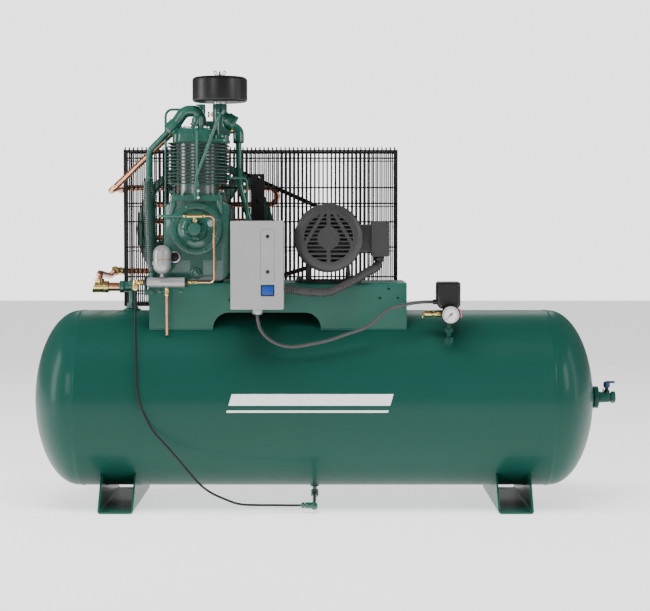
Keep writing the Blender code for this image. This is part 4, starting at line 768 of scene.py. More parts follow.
def build_intake():
    x0, floor_z = -0.3005, 1.0603
    tube = spun([(0.0205, floor_z), (0.0205, 1.148), (0.0195, 1.15), (0, 1.15)], (x0, LOW_Y, 0), "Z", 48)
    start = Vector((-0.314, LOW_Y, 1.1265))
    slope, across = Vector((0.85, 0, -0.5268)), Vector((0.5268, 0, 0.85))
    housing = spun(pairs(17, 4, 19.5, 10, 19.5, 37, 23.2, 37.5, 23.6, 38.5, 23.6, 54, 22.6, 54.8, 22.6,
        55.6, 24.4, 56.2, 24.4, 64.2, 23.6, 65, 0, 65), start, slope, 56)
    middle = Vector((-0.2866, 0, 1.0689))
    corners = [middle + slope * a + across * b for a, b in pairs(-14.5, -13, 14.5, -13, 14.5, 13, -14.5,
        13)]
    block = prism([(p.x, p.z) for p in corners], "Y", LOW_Y - 0.019, LOW_Y + 0.019)
    foot = box((-0.315, LOW_Y - 0.02, floor_z), (-0.272, LOW_Y + 0.02, 1.069))
    posts = [rod(0.0018, "Z", (x0 + 0.0165 * math.cos(t), LOW_Y + 0.0165 * math.sin(t), 0), 1.148, 1.1555,
        10) for t in (math.pi * (k / 3 + 0.1) for k in range(6))]
    knob = [spun(pairs(0, 0, 7.2, 0.6, 7.6, 1.8, 6, 4, 1.4, 4.6, 1.4, 12), (-0.3213, LOW_Y, 1.1215), "-X",
        28)]
    head = [spun(pairs(0, 8.5, 2.6, 9, 3, 11, 2.6, 13.5, 0, 14), (-0.3213, LOW_Y, 1.1215 + dz), "-X", 20)
        for dz in (-0.005, 0.005)]
    head.append(box((-0.3345, LOW_Y - 0.0012, 1.1165), (-0.332, LOW_Y + 0.0012, 1.1265)))
    piece("intake_body", "intake_stack",
        [(CAST_GREEN, [tube, housing, block, foot] + posts), (BRASS, knob), (PLASTIC, head)], bevel=0.0008)

    low, high, radius = 1.156, 1.227, 0.0785
    profile = [(0, low), (radius - 0.01, low)]
    profile += [(radius - 0.008 + 0.008 * math.sin(t), low + 0.008 - 0.008 * math.cos(t))
        for t in (math.radians(90 * k / 6) for k in range(7))]
    profile += [(radius - 0.01 + 0.01 * math.cos(t), high - 0.01 + 0.01 * math.sin(t))
        for t in (math.radians(90 * k / 8) for k in range(9))]
    profile += pairs(50, 0, 48, -1.2, 20, -0.8, 18, 0.4, 11, 0.4, 0, 0.4, at=(0, high))
    can = spun(profile, (x0, LOW_Y, 0), "Z", 112)
    base = spun(pairs(0, 1150.3, 19.5, 1150.3, 19.5, 1156.2, 0, 1156.2), (x0, LOW_Y, 0), "Z", 32)
    thread = spun([(0.0028, 1.226)] + [(0.003 if k % 2 else 0.0025, 1.227 + 0.0008 * k) for k in range(22)]
        + [(0, 1.2448)], (x0, LOW_Y, 0), "Z", 20)
    piece("filter_canister", "intake_filter",
        [(FILTER_BLACK, [can]), (ZINC, [base, thread])])
    collar = spun(pairs(3.6, 1227.6, 8.5, 1227.6, 7.2, 1233.5, 5.5, 1235, 3.6, 1235), (x0, LOW_Y, 0), "Z",
        32, closed=True)
    wings = []
    for side in (-1, 1):
        loop = [(x0 + side * a, LOW_Y, 1.23 + b) for a, b in pairs(5.5, 0.5, 8.5, 1.5, 12, 4, 15.5, 8,
            16.8, 11.5, 15.5, 14, 12.5, 14.5, 10, 12, 8.5, 8, 7, 5, 5.2, 4)]
        wings.append(sweep([(p, 0.00145) for p in smooth(loop, 0.0016)], 12))
    piece("wing_nut", "filter_wing_nut", [(STEEL, [collar] + wings)], body="wing_nut")


# ---------------------------------------------------------------- pipework
def build_interstage():
    elbow = bent(triples(-360, 0, 1091.5, -360, 0, 1131, -402, 0, 1131, -430, 0, 1090.5, at=(0, LOW_Y, 0)),
        0.03, 12)
    path_line = bent(triples(-430, 0, 1090.5, -503.5, 0, 1017, -504.5, 0, 941, at=(0, LOW_Y, 0)), 0.034, 12)
    end = elbow[-1].lerp(path_line[1], 0.22)
    body = sweep([(p, 0.0165 + 0.0055 * max(0.0, 1 - k / 5) ** 1.5) for k, p in enumerate(elbow)], 32)
    collar = sweep([(elbow[-1].lerp(elbow[-2], 0.3), 0.0192), (elbow[-1], 0.021), (end, 0.021),
        (end.lerp(path_line[1], 0.1), 0.015)], 8)
    tube = sweep([(p, 0.0088) for p in [elbow[-1]] + path_line[1:]], 24)
    flange = spun(pairs(23.5, 1091.7, 23.5, 1096, 20, 1098.5, 16.5, 1100), (-0.3618, LOW_Y, 0), "Z", 40)
    piece("interstage_bend", "interstage_elbow", [(CAST_GREEN, [body, flange, collar]),
        (PIPE_GREEN, [tube])], bevel=0.0008)

    top, bottom = Vector((-0.5045, LOW_Y, 0.94)), Vector((-0.494, LOW_Y, 0.6725))
    along = (bottom - top).normalized()
    length = (bottom - top).length
    profile = pairs(10, 0, 12.5, 1, 12.5, 9)
    count = int((length - 0.02) / 0.0055)
    for k in range(count):
        h = 0.01 + 0.0055 * k
        profile += pairs(13, 0, 19.5, 0.4, 19.5, 3.2, 13, 3.6, at=(0, h))
    profile += pairs(12.5, -9, 12.5, -1, 10, 0, at=(0, length))
    # the intercooler's fins take the darker fin green, which is painted shade between them
    piece("intercooler_core", "intercooler", [(FIN_SHADED_GREEN, [spun(profile, top, along, 36)])])

    crossing = 0.66
    route = [(-0.2937, HIGH_Y, 1.091), (-0.2545, HIGH_Y, 1.091), (-0.252, 0.05, 0.97),
        (-0.248, 0.03, 0.92), (-0.221, 0.03, 0.82), (-0.213, 0.03, 0.7), (-0.228, 0.112, crossing),
        (-0.255, 0.151, crossing), (-0.494, 0.151, crossing), (-0.494, LOW_Y, 0.652),
        (-0.494, LOW_Y, 0.6715)]
    points = bent(route, 0.024, 8)
    elbow_end = 10
    parts = [sweep([(p, 0.0088) for p in points], 20),
        sweep([(p, 0.0162) for p in points[:elbow_end] + [points[elbow_end - 1].lerp(points[elbow_end],
        0.25)]], 32)]
    parts += union_nut((-0.494, LOW_Y, 0.6545), "Z", 0.0135, 0.016, 0.0088)
    ring = union_nut((-0.28, HIGH_Y - 0.01, 1.084), (1, -0.2, 0), 0.0115, 0.012, 0.0075)
    piece("interstage_pipe", "interstage_return", [(PIPE_GREEN, parts), (BRASS, ring)])


def build_discharge():
    riser_x = -0.6545
    cooler_y, top_row = 0.328, 0.921
    pitch = (top_row - 0.664) / 5
    left, right = -0.565, -0.148
    route = [(-0.4183, HIGH_Y, 1.083), (-0.4432, HIGH_Y, 1.082), (-0.63, HIGH_Y, 0.905),
        (-0.64, 0.2, 0.912), (-0.625, cooler_y, top_row), (right, cooler_y, top_row)]
    for row in range(1, 6):
        z = top_row - row * pitch
        side = right if row % 2 else left
        if row > 1:
            route.append((side, cooler_y, z + pitch))
        route.append((side, cooler_y, z))
    low = top_row - 5 * pitch
    route += [(-0.65, cooler_y, low), (-0.65, 0.2, low - 0.012), (riser_x, 0, low + 0.002),
        (riser_x, 0, 0.6503)]
    tube = pipe(route, 0.009, 0.0255, 20, 10)
    nuts = union_nut((-0.42, HIGH_Y, 1.083), "-X", 0.0125, 0.016, 0.0072)
    nuts += union_nut((-0.638, cooler_y, low), "X", 0.0125, 0.018, 0.0072)
    nuts += [spun(pairs(12.5, 0, 14.5, 2, 14.5, 13, 11, 16), (-0.648, cooler_y - 0.012, low + 0.001),
        (0.1, -1, 0), 28)]
    nuts += union_nut((-0.6345, cooler_y - 0.006, 0.916), "X", 0.0125, 0.018, 0.0072)
    piece("discharge_line", "discharge_tube", [(COPPER, [tube]), (BRASS, nuts)])

    z = 0.6265
    # a mitred elbow: its outer corner is cut off on a slant
    turns = [2 * math.pi * (k + 0.5) / 40 for k in range(40)]
    rings = [[Vector((x + slant * (1 + math.sin(t)), 0.0166 * math.cos(t), z + 0.0166 * math.sin(t)))
        for t in turns] for x, slant in ((-0.6775, 0.0062), (-0.642, 0))]
    leg = spun([(0.0128, z), (0.0128, 0.648), (0.0116, 0.65), (0.0095, 0.65)], (riser_x, 0, 0), "Z", 40)
    collar = spun(pairs(15, -642.5, 17.6, -640.5, 17.6, -629, 16, -627.5, 12, -627, 12, -596.3), (0, 0, z),
        "X", 40)
    piece("discharge_bend", "discharge_elbow", [(BRASS, [skin(rings), leg, collar])], bevel=0.0008)
    stub = spun(pairs(13, -627.2, 13, -597), (0, 0, z), "X", 32)
    piece("discharge_stub", None, [(COPPER, [stub])])

    x = -0.5605
    valve = spun(pairs(15, 563.8, 18.2, 565, 18.2, 569, 11.8, 571, 10.5, 574, 10.5, 616, 14, 620, 15, 628,
        14, 639, 9, 644, 0, 644.5), (x, 0, 0), "Z", 40)
    arm = spun([(0.017, -0.596), (0.018, -0.595), (0.018, -0.584), (0.0135, -0.581), (0.013, x)],
        (0, 0, z), "X", 36)
    base = [hexagon((x, 0, 0.57), "Z", 0.0165, 0.012)]
    piece("tank_check_valve", "check_valve", [(CAST_GREEN, [valve, arm] + base)],
        bevel=0.0008)


def build_small_lines():
    drip_x, breather_x = -0.4438, -0.362
    thin, tee_y, tee_z = 0.0038, -0.183, 0.8305
    drop_y = HIGH_Y - 0.015
    unloader = [(-0.3792, HIGH_Y, 1.1435), (-0.395, HIGH_Y, 1.1435), (-0.42, drop_y, 1.1435),
        (-0.4668, drop_y, 1.1435), (-0.4668, drop_y, tee_z), (-0.4668, tee_y, tee_z),
        (-0.3946, tee_y, tee_z)]
    nuts = union_nut((-0.3795, HIGH_Y, 1.1435), "-X", 0.0072, 0.012, thin)
    piece("unloader_line", "unloader_tube",
        [(PIPE_GREEN, [pipe(unloader, thin, 0.02, 16, 8)] + nuts)])

    by = LOW_Y - 0.09
    breather = [(-0.299, LOW_Y - 0.0212, 1.125), (-0.295, by, 1.118), (-0.3609, by, 0.9436),
        (breather_x, by, 0.884), (breather_x, CASE_Y0 - 0.0064, 0.884)]
    upright = rod(0.0036, "Z", (-0.36, by, 0), 0.93, 1.07, 16)
    nuts = union_nut((-0.3612, by, 0.914), (0.02, 0, 1), 0.0075, 0.016, thin)
    top = union_nut((-0.2985, LOW_Y - 0.023, 1.1245), (0.04, -1, -0.1), 0.0078, 0.014, thin)
    fitting = [spun(pairs(8, 0, 8, 10, 5.5, 12, 5, 20), (breather_x, CASE_Y0 - 0.0062, 0.884), "-Y", 6)]
    block = [sweep([((breather_x, by, 0.876), 0.007), ((breather_x, by, 0.908), 0.007)], 8)]
    caps = bolt((-0.356, by - 0.0055, 0.883), "-Y", 0.0042, 0.0035, washer=False)
    caps += bolt((-0.356, by - 0.0055, 0.902), "-Y", 0.0042, 0.0035, washer=False)
    piece("breather_line", "breather_tube",
        [(PIPE_GREEN, [pipe(breather, 0.0045, 0.012, 16, 8), upright] + nuts + top + fitting + block),
        (ZINC, caps)])

    pilot = triples(-281.2, -60, 940, -223, -60, 940, -223, -60, 700, -270.4, -60, 700)
    ends = union_nut((-0.271, -0.06, 0.7), "X", 0.007, 0.012, 0.0034) + union_nut((-0.2812, -0.06, 0.94),
        "X", 0.007, 0.012, 0.0034)
    piece("pilot_line", "pilot_tube",
        [(PIPE_GREEN, [pipe(pilot, 0.0034, 0.014, 14, 8)] + ends)])

    mz, my = 0.6447, -0.175
    run = pipe([(-0.34, tee_y, tee_z), (-0.311, tee_y, tee_z), (-0.31, my - 0.004, mz), (-0.36, my, mz)],
        0.0032, 0.013, 16, 8)
    tee = [spun(pairs(5, -388, 5.8, -387, 5.8, -344, 5, -343), (0, tee_y, tee_z), "X", 24),
        spun(pairs(5.2, 813.6, 5.2, 830), (PUMP_X, tee_y, 0), "Z", 24), hexagon((PUMP_X, tee_y, 0.8136),
        "Z", 0.0068, 0.007)]
    tee += union_nut((-0.386, tee_y, tee_z), "-X", 0.0066, 0.01, 0.0038) + union_nut((-0.344, tee_y,
        tee_z), "X", 0.0066, 0.01, 0.0032)
    tee += union_nut((-0.3845, my, mz), "X", 0.0064, 0.011, 0.0032) + [hexagon((-0.3722, my, mz), "X",
        0.0066, 0.007)]
    tee += union_nut((-0.365, my, mz), "X", 0.0062, 0.008, 0.0032)
    piece("sensing_run", "sensing_line", [(COPPER, [run]), (BRASS, tee)])

    drip = spun(pairs(0, 496, 3.6, 496, 3.6, 608, 0, 608), (drip_x, my, 0), "Z", 20)
    nut = [hexagon((drip_x, my, 0.616), "Z", 0.0068, 0.006),
        spun(pairs(3, 604, 5.2, 606, 6, 610, 5.2, 615, 4.5, 616), (drip_x, my, 0), "Z", 24),
        spun(pairs(4.5, 621.5, 5.6, 623, 6, 626, 5, 629.8), (drip_x, my, 0), "Z", 24)]
    piece("drip_line", "drip_tube", [(COPPER, [drip]), (BRASS, nut)])


def build_manifold():
    capsule_x, hose_x = -0.4568, -0.5318
    y, z = -0.175, 0.6447
    can = spun(pairs(11, -499.3, 13.9, -498.5, 13.9, -464, 14.1, -463.5, 14.1, -462, 13.9, -461.5, 13.9,
        -393.5, 11, -392.7), (0, y, z), "X", 48)
    ends = [spun(pairs(10.5, -507.5, 12.4, -506.5, 12.4, -499), (0, y, z), "X", 40),
        spun(pairs(12.4, -393, 12.4, -387, 10.5, -385.8), (0, y, z), "X", 40)]
    elbow = [hexagon((-0.5195, y, z), "X", 0.0088, 0.011), spun(pairs(6.2, -529, 7, -528, 7, -519),
        (0, y, z), "X", 28), spun(pairs(7.5, 7.5, 8.5, 4, 8.5, -8, 7, -9, at=(0, z)), (hose_x, y, 0), "Z",
        32), hexagon((hose_x, y, z - 0.019), "Z", 0.0084, 0.0095), spun(pairs(6, 622, 7, 623.5, 7, 627),
        (hose_x, y, 0), "Z", 28)]
    bracket = [box((-0.508, y + 0.002, 0.62), (-0.5035, -0.154, 0.658)), box((-0.508, -0.1543, 0.608),
        (-0.48, -0.1503, 0.624))]
    screw = bolt((-0.488, -0.1543, 0.616), "-Y", 0.0046, 0.004)
    piece("manifold_body", "pilot_manifold", [(CAN_GREY, [can]), (PLASTIC, ends),
        (BRASS, elbow), (SHEET_GREEN, bracket + screw)], bevel=0.0004)

    cz, radius = 0.7087, 0.025
    shell = [(0, 0.659), (0.0048, 0.659), (0.0048, cz - 0.0415), (0.007, cz - 0.0405)]
    for k in range(2, 13):
        turn = math.radians(90 * k / 12)
        shell.append((radius * math.sin(turn), cz - 0.016 - 0.0245 * math.cos(turn)))
    shell += [(radius, cz - 0.0015), (radius, cz + 0.0015)]
    for k in range(13):
        turn = math.radians(90 * k / 12)
        shell.append((radius * math.cos(turn), cz + 0.016 + 0.0245 * math.sin(turn)))
    shell[-1] = (0, cz + 0.0405)
    band = spun(pairs(-0.2, -1.3, 0.6, -0.9, 0.6, 0.9, -0.2, 1.3, at=(radius, 0)), (capsule_x, y, cz), "Z",
        56, closed=True)
    screw = spun(pairs(5.2, 0, 5.2, 3, 3.5, 4.2, 0, 4.4), (capsule_x - 0.0238, y, cz - 0.01), "-X", 20)
    piece("capsule_shell", "pilot_capsule",
        [(CAN_GREY, [spun(shell, (capsule_x, y, 0), "Z", 56), screw]), (BRASS, [band])])


def build_drain():
    x, z, front = -0.03, 0.0215, -0.215
    riser = spun(pairs(6.5, 33, 6.5, 44.2), (x, 0, 0), "Z", 24)
    elbow = sweep([((x, 0, 0.034), 0.0108), ((x, 0, 0.027), 0.0112), ((x, -0.001, z + 0.001), 0.0112),
        ((x, -0.006, z), 0.0112), ((x, -0.014, z), 0.0108)], 24)
    run = rod(0.0065, "Y", (x, 0, z), front + 0.01, -0.012, 24)
    tee = [spun(pairs(9.2, 0, 9.8, 1, 9.8, 30, 9.2, 31), (x, front + 0.012, z), "-Y", 28),
        hexagon((x, front - 0.019, z), "-Y", 0.0078, 0.006)]
    side = [spun(pairs(8.8, 0, 8.8, 18, 8, 19), (x, front, z), "-X", 28)]
    nut = [hexagon((-0.048, front, z), "-X", 0.0088, 0.008), hexagon((-0.0575, front, z), "-X", 0.0088,
        0.008), spun(pairs(4.8, 45, 4.8, 67.6), (0, front, z), "-X", 20)]
    piece("drain_run", "drain_pipe", [(PIPE_GREEN, [riser, elbow, run] + tee + side + nut)],
        bevel=0.0004)


# ---------------------------------------------------------------- drive
def groove_rim(radius, front, rear, depth=0.0145):
    """The outside of a two-groove wheel, from front to rear."""
    profile = [(radius - 0.0015, front), (radius, front + 0.0015)]
    for centre in GROOVES:
        profile += [(radius, centre - 0.0084), (radius - 0.0006, centre - 0.008),
            (radius - depth, centre - 0.004), (radius - depth, centre + 0.004),
            (radius - 0.0006, centre + 0.008), (radius, centre + 0.0084)]
    return profile + [(radius, rear - 0.0015), (radius - 0.0015, rear)]


GROOVES = (0.253, 0.272)
WHEEL_R, PULLEY_R, MOTOR_X, MOTOR_Z = 0.2055, 0.075, 0.01, 0.769


def build_flywheel():
    centre = (PUMP_X, 0, CRANK_Z)
    front, rear = 0.238, 0.287
    rim = [(0.185, front + 0.004), (0.19, front)] + groove_rim(WHEEL_R, front, rear)[1:]
    rim += [(0.19, rear), (0.185, rear - 0.004), (0.1835, rear - 0.016), (0.1835, front + 0.016)]
    hub = [(0.0158, front - 0.01), (0.0158, rear), (0.0375, rear), (0.0395, rear - 0.002),
        (0.043, front + 0.012), (0.0375, front - 0.008), (0.0355, front - 0.01)]
    shapes = [spun(rim, centre, "Y", 144, closed=True), spun(hub, centre, "Y", 56, closed=True)]
    for k in range(5):
        turn = Matrix.Translation((PUMP_X, 0.2625, CRANK_Z)) @ Matrix.Rotation(math.radians(72 * k + 15),
            4, "Y")
        rings = []
        for share in (0.0, 0.08, 0.22, 0.5, 0.78, 0.92, 1.0):
            reach = 0.034 + (0.186 - 0.034) * share
            flare = 1.0 + 0.28 * (2 * abs(share - 0.5)) ** 3
            tilt = Matrix.Rotation(math.radians(62 - 16 * share), 4, "X")
            half, thick = 0.0205 * flare, 0.0052 * flare
            outline = rounded((-half, -thick), (half, thick), 0.0046, 4)
            rings.append([turn @ (tilt @ Vector((reach, a, b))) for a, b in outline])
        shapes.append(skin(rings))
    key = [rod(0.0042, "Z", (PUMP_X, 0.234, 0), CRANK_Z + 0.03, CRANK_Z + 0.044, 12)]
    piece("flywheel_casting", "flywheel", [(CAST_GREEN, shapes), (IRON, key)], body="crank",
        bevel=0.0009)


def build_belts():
    a, b = Vector((PUMP_X, 0, CRANK_Z)), Vector((MOTOR_X, 0, MOTOR_Z))
    between = b - a
    heading = math.atan2(between.z, between.x)
    spread = math.acos((WHEEL_R - PULLEY_R) / between.length)
    stations = []
    wraps = ((a, WHEEL_R, heading + spread, heading + 2 * math.pi - spread, 72),
        (b, PULLEY_R, heading - spread, heading + spread, 36))
    for middle, radius, start, end, steps in wraps:
        for k in range(steps + 1):
            turn = start + (end - start) * k / steps
            outward = Vector((math.cos(turn), 0, math.sin(turn)))
            stations.append((middle + outward * radius, outward))
    section = pairs(-7, 2.8, 7, 2.8, 7.6, 2.2, 4.8, -9.2, 4.2, -9.8, -4.2, -9.8, -4.8, -9.2, -7.6, 2.2)
    belts = []
    for groove in GROOVES:
        rings = [[p + out * h + Vector((0, groove + y, 0)) for y, h in section] for p, out in stations]
        belts.append(skin(rings, closed=True))
    piece("v_belts", "drive_belt", [(BELT, belts)])


def build_motor():
    gland_x, gland_y = 0.1528, -0.105
    centre = (MOTOR_X, 0, MOTOR_Z)
    bottom = 0.6423
    shell = spun(pairs(88.5, -145, 94.3, -145, 95, -144, 95, 97, 94.3, 98, 88.5, 98), centre, "Y", 112)
    plate = prism(rounded((MOTOR_X - 0.095, -0.12), (MOTOR_X + 0.095, 0.075), 0.01), "Z", bottom,
        bottom + 0.005)
    webs = []
    for side in (-1, 1):
        x = MOTOR_X + side * 0.058
        web = [(x - side * 0.012, bottom), (x + side * 0.008, bottom), (x + side * 0.006, bottom + 0.008),
            (x + side * 0.002, MOTOR_Z - 0.076), (x - side * 0.006, MOTOR_Z - 0.078),
            (x - side * 0.008, bottom + 0.01)]
        for y0, y1 in ((-0.115, -0.106), (0.061, 0.07)):
            webs.append(prism(web, "Y", y0, y1))
        webs.append(prism([(x - 0.004, bottom), (x + 0.004, bottom), (x + 0.002, MOTOR_Z - 0.074),
            (x - 0.006, MOTOR_Z - 0.076)], "Y", -0.11, 0.066))
    neck_outline = rounded((-0.128, 0.7255), (-0.03, 0.8075), 0.008)
    neck = prism(neck_outline, "X", MOTOR_X + 0.06, 0.1311)
    strap = spun(pairs(94.9, -4, 95.4, -3, 95.4, 3, 94.9, 4, at=(0, 0.082)), centre, "Y", 96)
    bolts = []
    for x in (-0.08, 0.08):
        for y in (-0.085, 0.04):
            bolts += bolt((MOTOR_X + x, y, bottom + 0.005), "Z", 0.006, 0.0055)
    piece("motor_shell", "motor_frame",
        [(MOTOR_GREY, [shell, plate, neck] + webs + [strap]), (ZINC, bolts)], bevel=0.0006)

    front = -0.202
    cover = [(0, front), (0.07, front)]
    cover += [(0.07 + 0.026 * math.sin(t), front + 0.014 - 0.014 * math.cos(t))
        for t in (math.radians(9 * k) for k in range(1, 11))]
    cover += pairs(96.4, -170, 96.8, -146.2, 95, -146.2, 94.4, -170, 94, -186)
    cover += [(0.07 + 0.024 * math.sin(t), front + 0.016 - 0.014 * math.cos(t))
        for t in (math.radians(90 - 90 * k / 8) for k in range(1, 9))]
    cover += [(0, front + 0.002)]
    louvres = []
    rows = [0.0633 - 0.0112 * k for k in range(10)] + [-0.0504, -0.0625]
    for level in rows:
        for side in (-1, 1):
            edges = []
            for z in (level - 0.0037, level + 0.0037):
                outer = math.sqrt(max(0.0, 0.068 ** 2 - z * z))
                disc = math.sqrt(max(0.0, 0.0315 ** 2 - z * z))
                inner_rib, outer_rib = 0.0499 - 0.586 * z, 0.0611 - 0.586 * z
                edges.append((z, max(0.0056, disc), min(outer, inner_rib, 0.06), outer_rib, outer))
            (z0, a0, b0, c0, d0), (z1, a1, b1, c1, d1) = edges
            for pair in (((a0, b0), (a1, b1)), ((c0, d0), (c1, d1))):
                low, high = pair
                sliver = all(end - start < 0.001 for start, end in pair)
                if sliver or level < -0.01 and low[0] == c0:
                    continue
                spans = [(s, max(e, s + 0.0008)) for s, e in pair]
                outline = [(spans[0][0], z0), (spans[0][1], z0), (spans[1][1], z1), (spans[1][0], z1)]
                louvres.append(prism([(MOTOR_X + side * x, MOTOR_Z + z) for x, z in outline], "Y",
                    front - 0.01, front + 0.006))
    cowl = carved(spun(cover, centre, "Y", 112), merged(*louvres))
    screws = []
    for turn in (45, 135, 225, 315):
        t = math.radians(turn)
        out = Vector((math.cos(t), 0, math.sin(t)))
        screws.append(spun(pairs(4, 0, 3.6, 1.6, 0, 2.2), Vector((MOTOR_X, -0.156, MOTOR_Z))
            + out * 0.0964, out, 16))
    piece("fan_cowl", "fan_cover", [(MOTOR_GREY, [cowl]), (ZINC, screws)])

    seat = 0.0983
    bell = pairs(15, 34, 24, 34, 26, 32, 27, 22, 34, 16, 79.5, 12, 89.5, 10, 94, 6, 94, 0, 83.5, 0, 15, 6,
        at=(0, seat))
    ribs = []
    for k in range(8):
        turn = Matrix.Translation(centre) @ Matrix.Rotation(math.radians(45 * k), 4, "Y")
        rib = prism(pairs(25, 10, 89.5, 7, 89.5, 11.5, 27, 29, at=(0, seat)), "Z", -0.0022, 0.0022)
        ribs.append(moved(rib, turn))
    bell_bolts = []
    for k in range(4):
        t = math.radians(90 * k + 22.5)
        bell_bolts += bolt((MOTOR_X + 0.081 * math.cos(t), seat + 0.0115, MOTOR_Z + 0.081 * math.sin(t)),
            "Y", 0.0052, 0.0045, washer=False)
    piece("motor_bell", "motor_end_bell",
        [(MOTOR_GREY, [spun(bell, centre, "Y", 80, closed=True)] + ribs), (ZINC, bell_bolts)], bevel=0.0005)

    wheel = pairs(14.3, 242.5, 30, 242.5, 31, 244, 58, 245, 60, 242.5)
    wheel += groove_rim(PULLEY_R, 0.2425, 0.2825) + pairs(60, 282.5, 58, 270, 31, 270, 30, 286, 14.3, 286)
    piece("drive_pulley", "motor_pulley",
        [(IRON, [spun(wheel, centre, "Y", 72, closed=True)])], body="rotor")

    low, high = (0.1314, -0.145), (0.1811, -0.015)
    body = prism(rounded((low[0], 0.717), (high[0], 0.8156), 0.004, 5), "Y", low[1] + 0.0012, high[1])
    lid = prism(rounded((low[0] - 0.0006, 0.7164), (high[0] + 0.0006, 0.8162), 0.0045, 5), "Y",
        low[1] - 0.0006, low[1] + 0.0028)
    screws = [spun(pairs(3.4, 0, 3, 1.4, 0, 2), (x, low[1] - 0.0006, z), "-Y", 16)
        for x, z in ((0.1375, 0.723), (0.175, 0.8098))]
    gland = [hexagon((gland_x, gland_y, 0.7168), "-Z", 0.0165, 0.005), spun(pairs(15, 0, 14.6, 6, 13.2, 9),
        (gland_x, gland_y, 0.7125), "-Z", 32)]
    piece("terminal_housing", "terminal_box", [(MOTOR_GREY, [body, lid] + screws),
        (PLASTIC, gland)], bevel=0.0005)


# ---------------------------------------------------------------- guard
def wire(start, end, radius=0.0023, sides=6):
    return sweep([(start, radius), (end, radius)], sides)


def build_guard():
    fixing_x = -0.2
    x0, x1, z0, z1 = -0.603, 0.217, 0.5635, 1.031
    front_y, near_y, rear_y, pitch = 0.1745, 0.1815, 0.355, 0.01262
    uprights = [x0 + 0.004 + pitch * k for k in range(int((x1 - x0 - 0.004) / pitch) + 1)]
    front = [wire((x, front_y, z0), (x, front_y, z1 + 0.003)) for x in uprights]
    for z in (1.0285, 1.006, 0.918, 0.871, 0.816, 0.74, 0.651, 0.608, 0.5705, 0.5645):
        front.append(wire((x0, front_y - 0.0026, z), (x1, front_y - 0.0026, z)))
    post = [box((x0 - 0.001, 0.1725, z0), (x0 + 0.0085, 0.1785, z1)), box((x1 - 0.0085, 0.1725, z0),
        (x1 + 0.001, 0.1785, z1))]
    clips = []
    for z in (0.62, 0.8, 0.98):
        clips.append(box((x0 + 0.001, 0.1705, z - 0.006), (x0 + 0.012, 0.18, z + 0.006)))
        clips.append(box((x1 - 0.012, 0.1705, z - 0.006), (x1 - 0.001, 0.18, z + 0.006)))
    for x in uprights:
        hook = triples(0, 0, 2, 0, 2, 6.2, 0, 6, 7, at=(x, front_y, z1))
        front.append(sweep([(p, 0.0023) for p in hook], 6))
    piece("guard_front_mesh", "guard_front", [(WIRE, front + post), (BLACK, clips)])

    back = []
    for x in uprights:
        back.append(wire((x, rear_y, z0), (x, rear_y, z1)))
        back.append(wire((x, near_y, z1 - 0.0015), (x, rear_y, z1 - 0.0015)))
        back.append(wire((x, near_y, z0 + 0.0015), (x, rear_y, z0 + 0.0015)))
    for z in (1.0285, 1.004, 0.922, 0.864, 0.817, 0.726, 0.646, 0.593, 0.5645):
        back.append(wire((x0, rear_y, z), (x1, rear_y, z), 0.0016))
        for x in (x0 + 0.0015, x1 - 0.0015):
            back.append(wire((x, near_y, z), (x, rear_y, z), 0.0016))
    for x in (x0 + 0.003, x1 - 0.003):
        back += [wire((x, y, z0), (x, y, z1)) for y in (0.24, 0.298)]
    for y in (0.226, 0.27, 0.314):
        for z in (z0 + 0.004, z1 - 0.004):
            back.append(wire((x0, y, z), (x1, y, z), 0.0016))
    frame_bars = []
    for x in (x0 + 0.002, x1 - 0.002):
        for y in (near_y - 0.001, rear_y):
            frame_bars.append(wire((x, y, z0), (x, y, z1), 0.0026, 8))
    for z in (z0 + 0.002, z1 - 0.002):
        for y in (near_y - 0.001, rear_y):
            frame_bars.append(wire((x0, y, z), (x1, y, z), 0.0026, 8))
        for x in (x0 + 0.002, x1 - 0.002):
            frame_bars.append(wire((x, near_y, z), (x, rear_y, z), 0.0026, 8))
    piece("guard_cage_mesh", "guard_cage", [(WIRE, back + frame_bars)])

    channel = pairs(-220, 139, -180, 139, -180, 164, -183, 164, -183, 142, -217, 142, -217, 164, -220, 164)
    upright = carved(prism(channel, "Z", 0.6423, 0.958), rod(0.0052, "Y", (-0.1965, 0, 0.945), 0.13, 0.15,
        24))
    foot = prism(rounded((-0.224, 0.1), (-0.176, 0.142), 0.004), "Z", 0.6423, 0.6458)
    fixings = bolt((fixing_x, 0.118, 0.6458), "Z", 0.006, 0.005)
    for z in (0.7, 0.88):
        fixings += bolt((fixing_x, 0.139, z), "-Y", 0.0058, 0.0048)
        fixings += [rod(0.003, "Y", (fixing_x, 0, z), 0.139, 0.172, 12)]
    piece("guard_upright", "guard_bracket", [(BLACK, [upright, foot] + fixings)],
        bevel=0.0005)


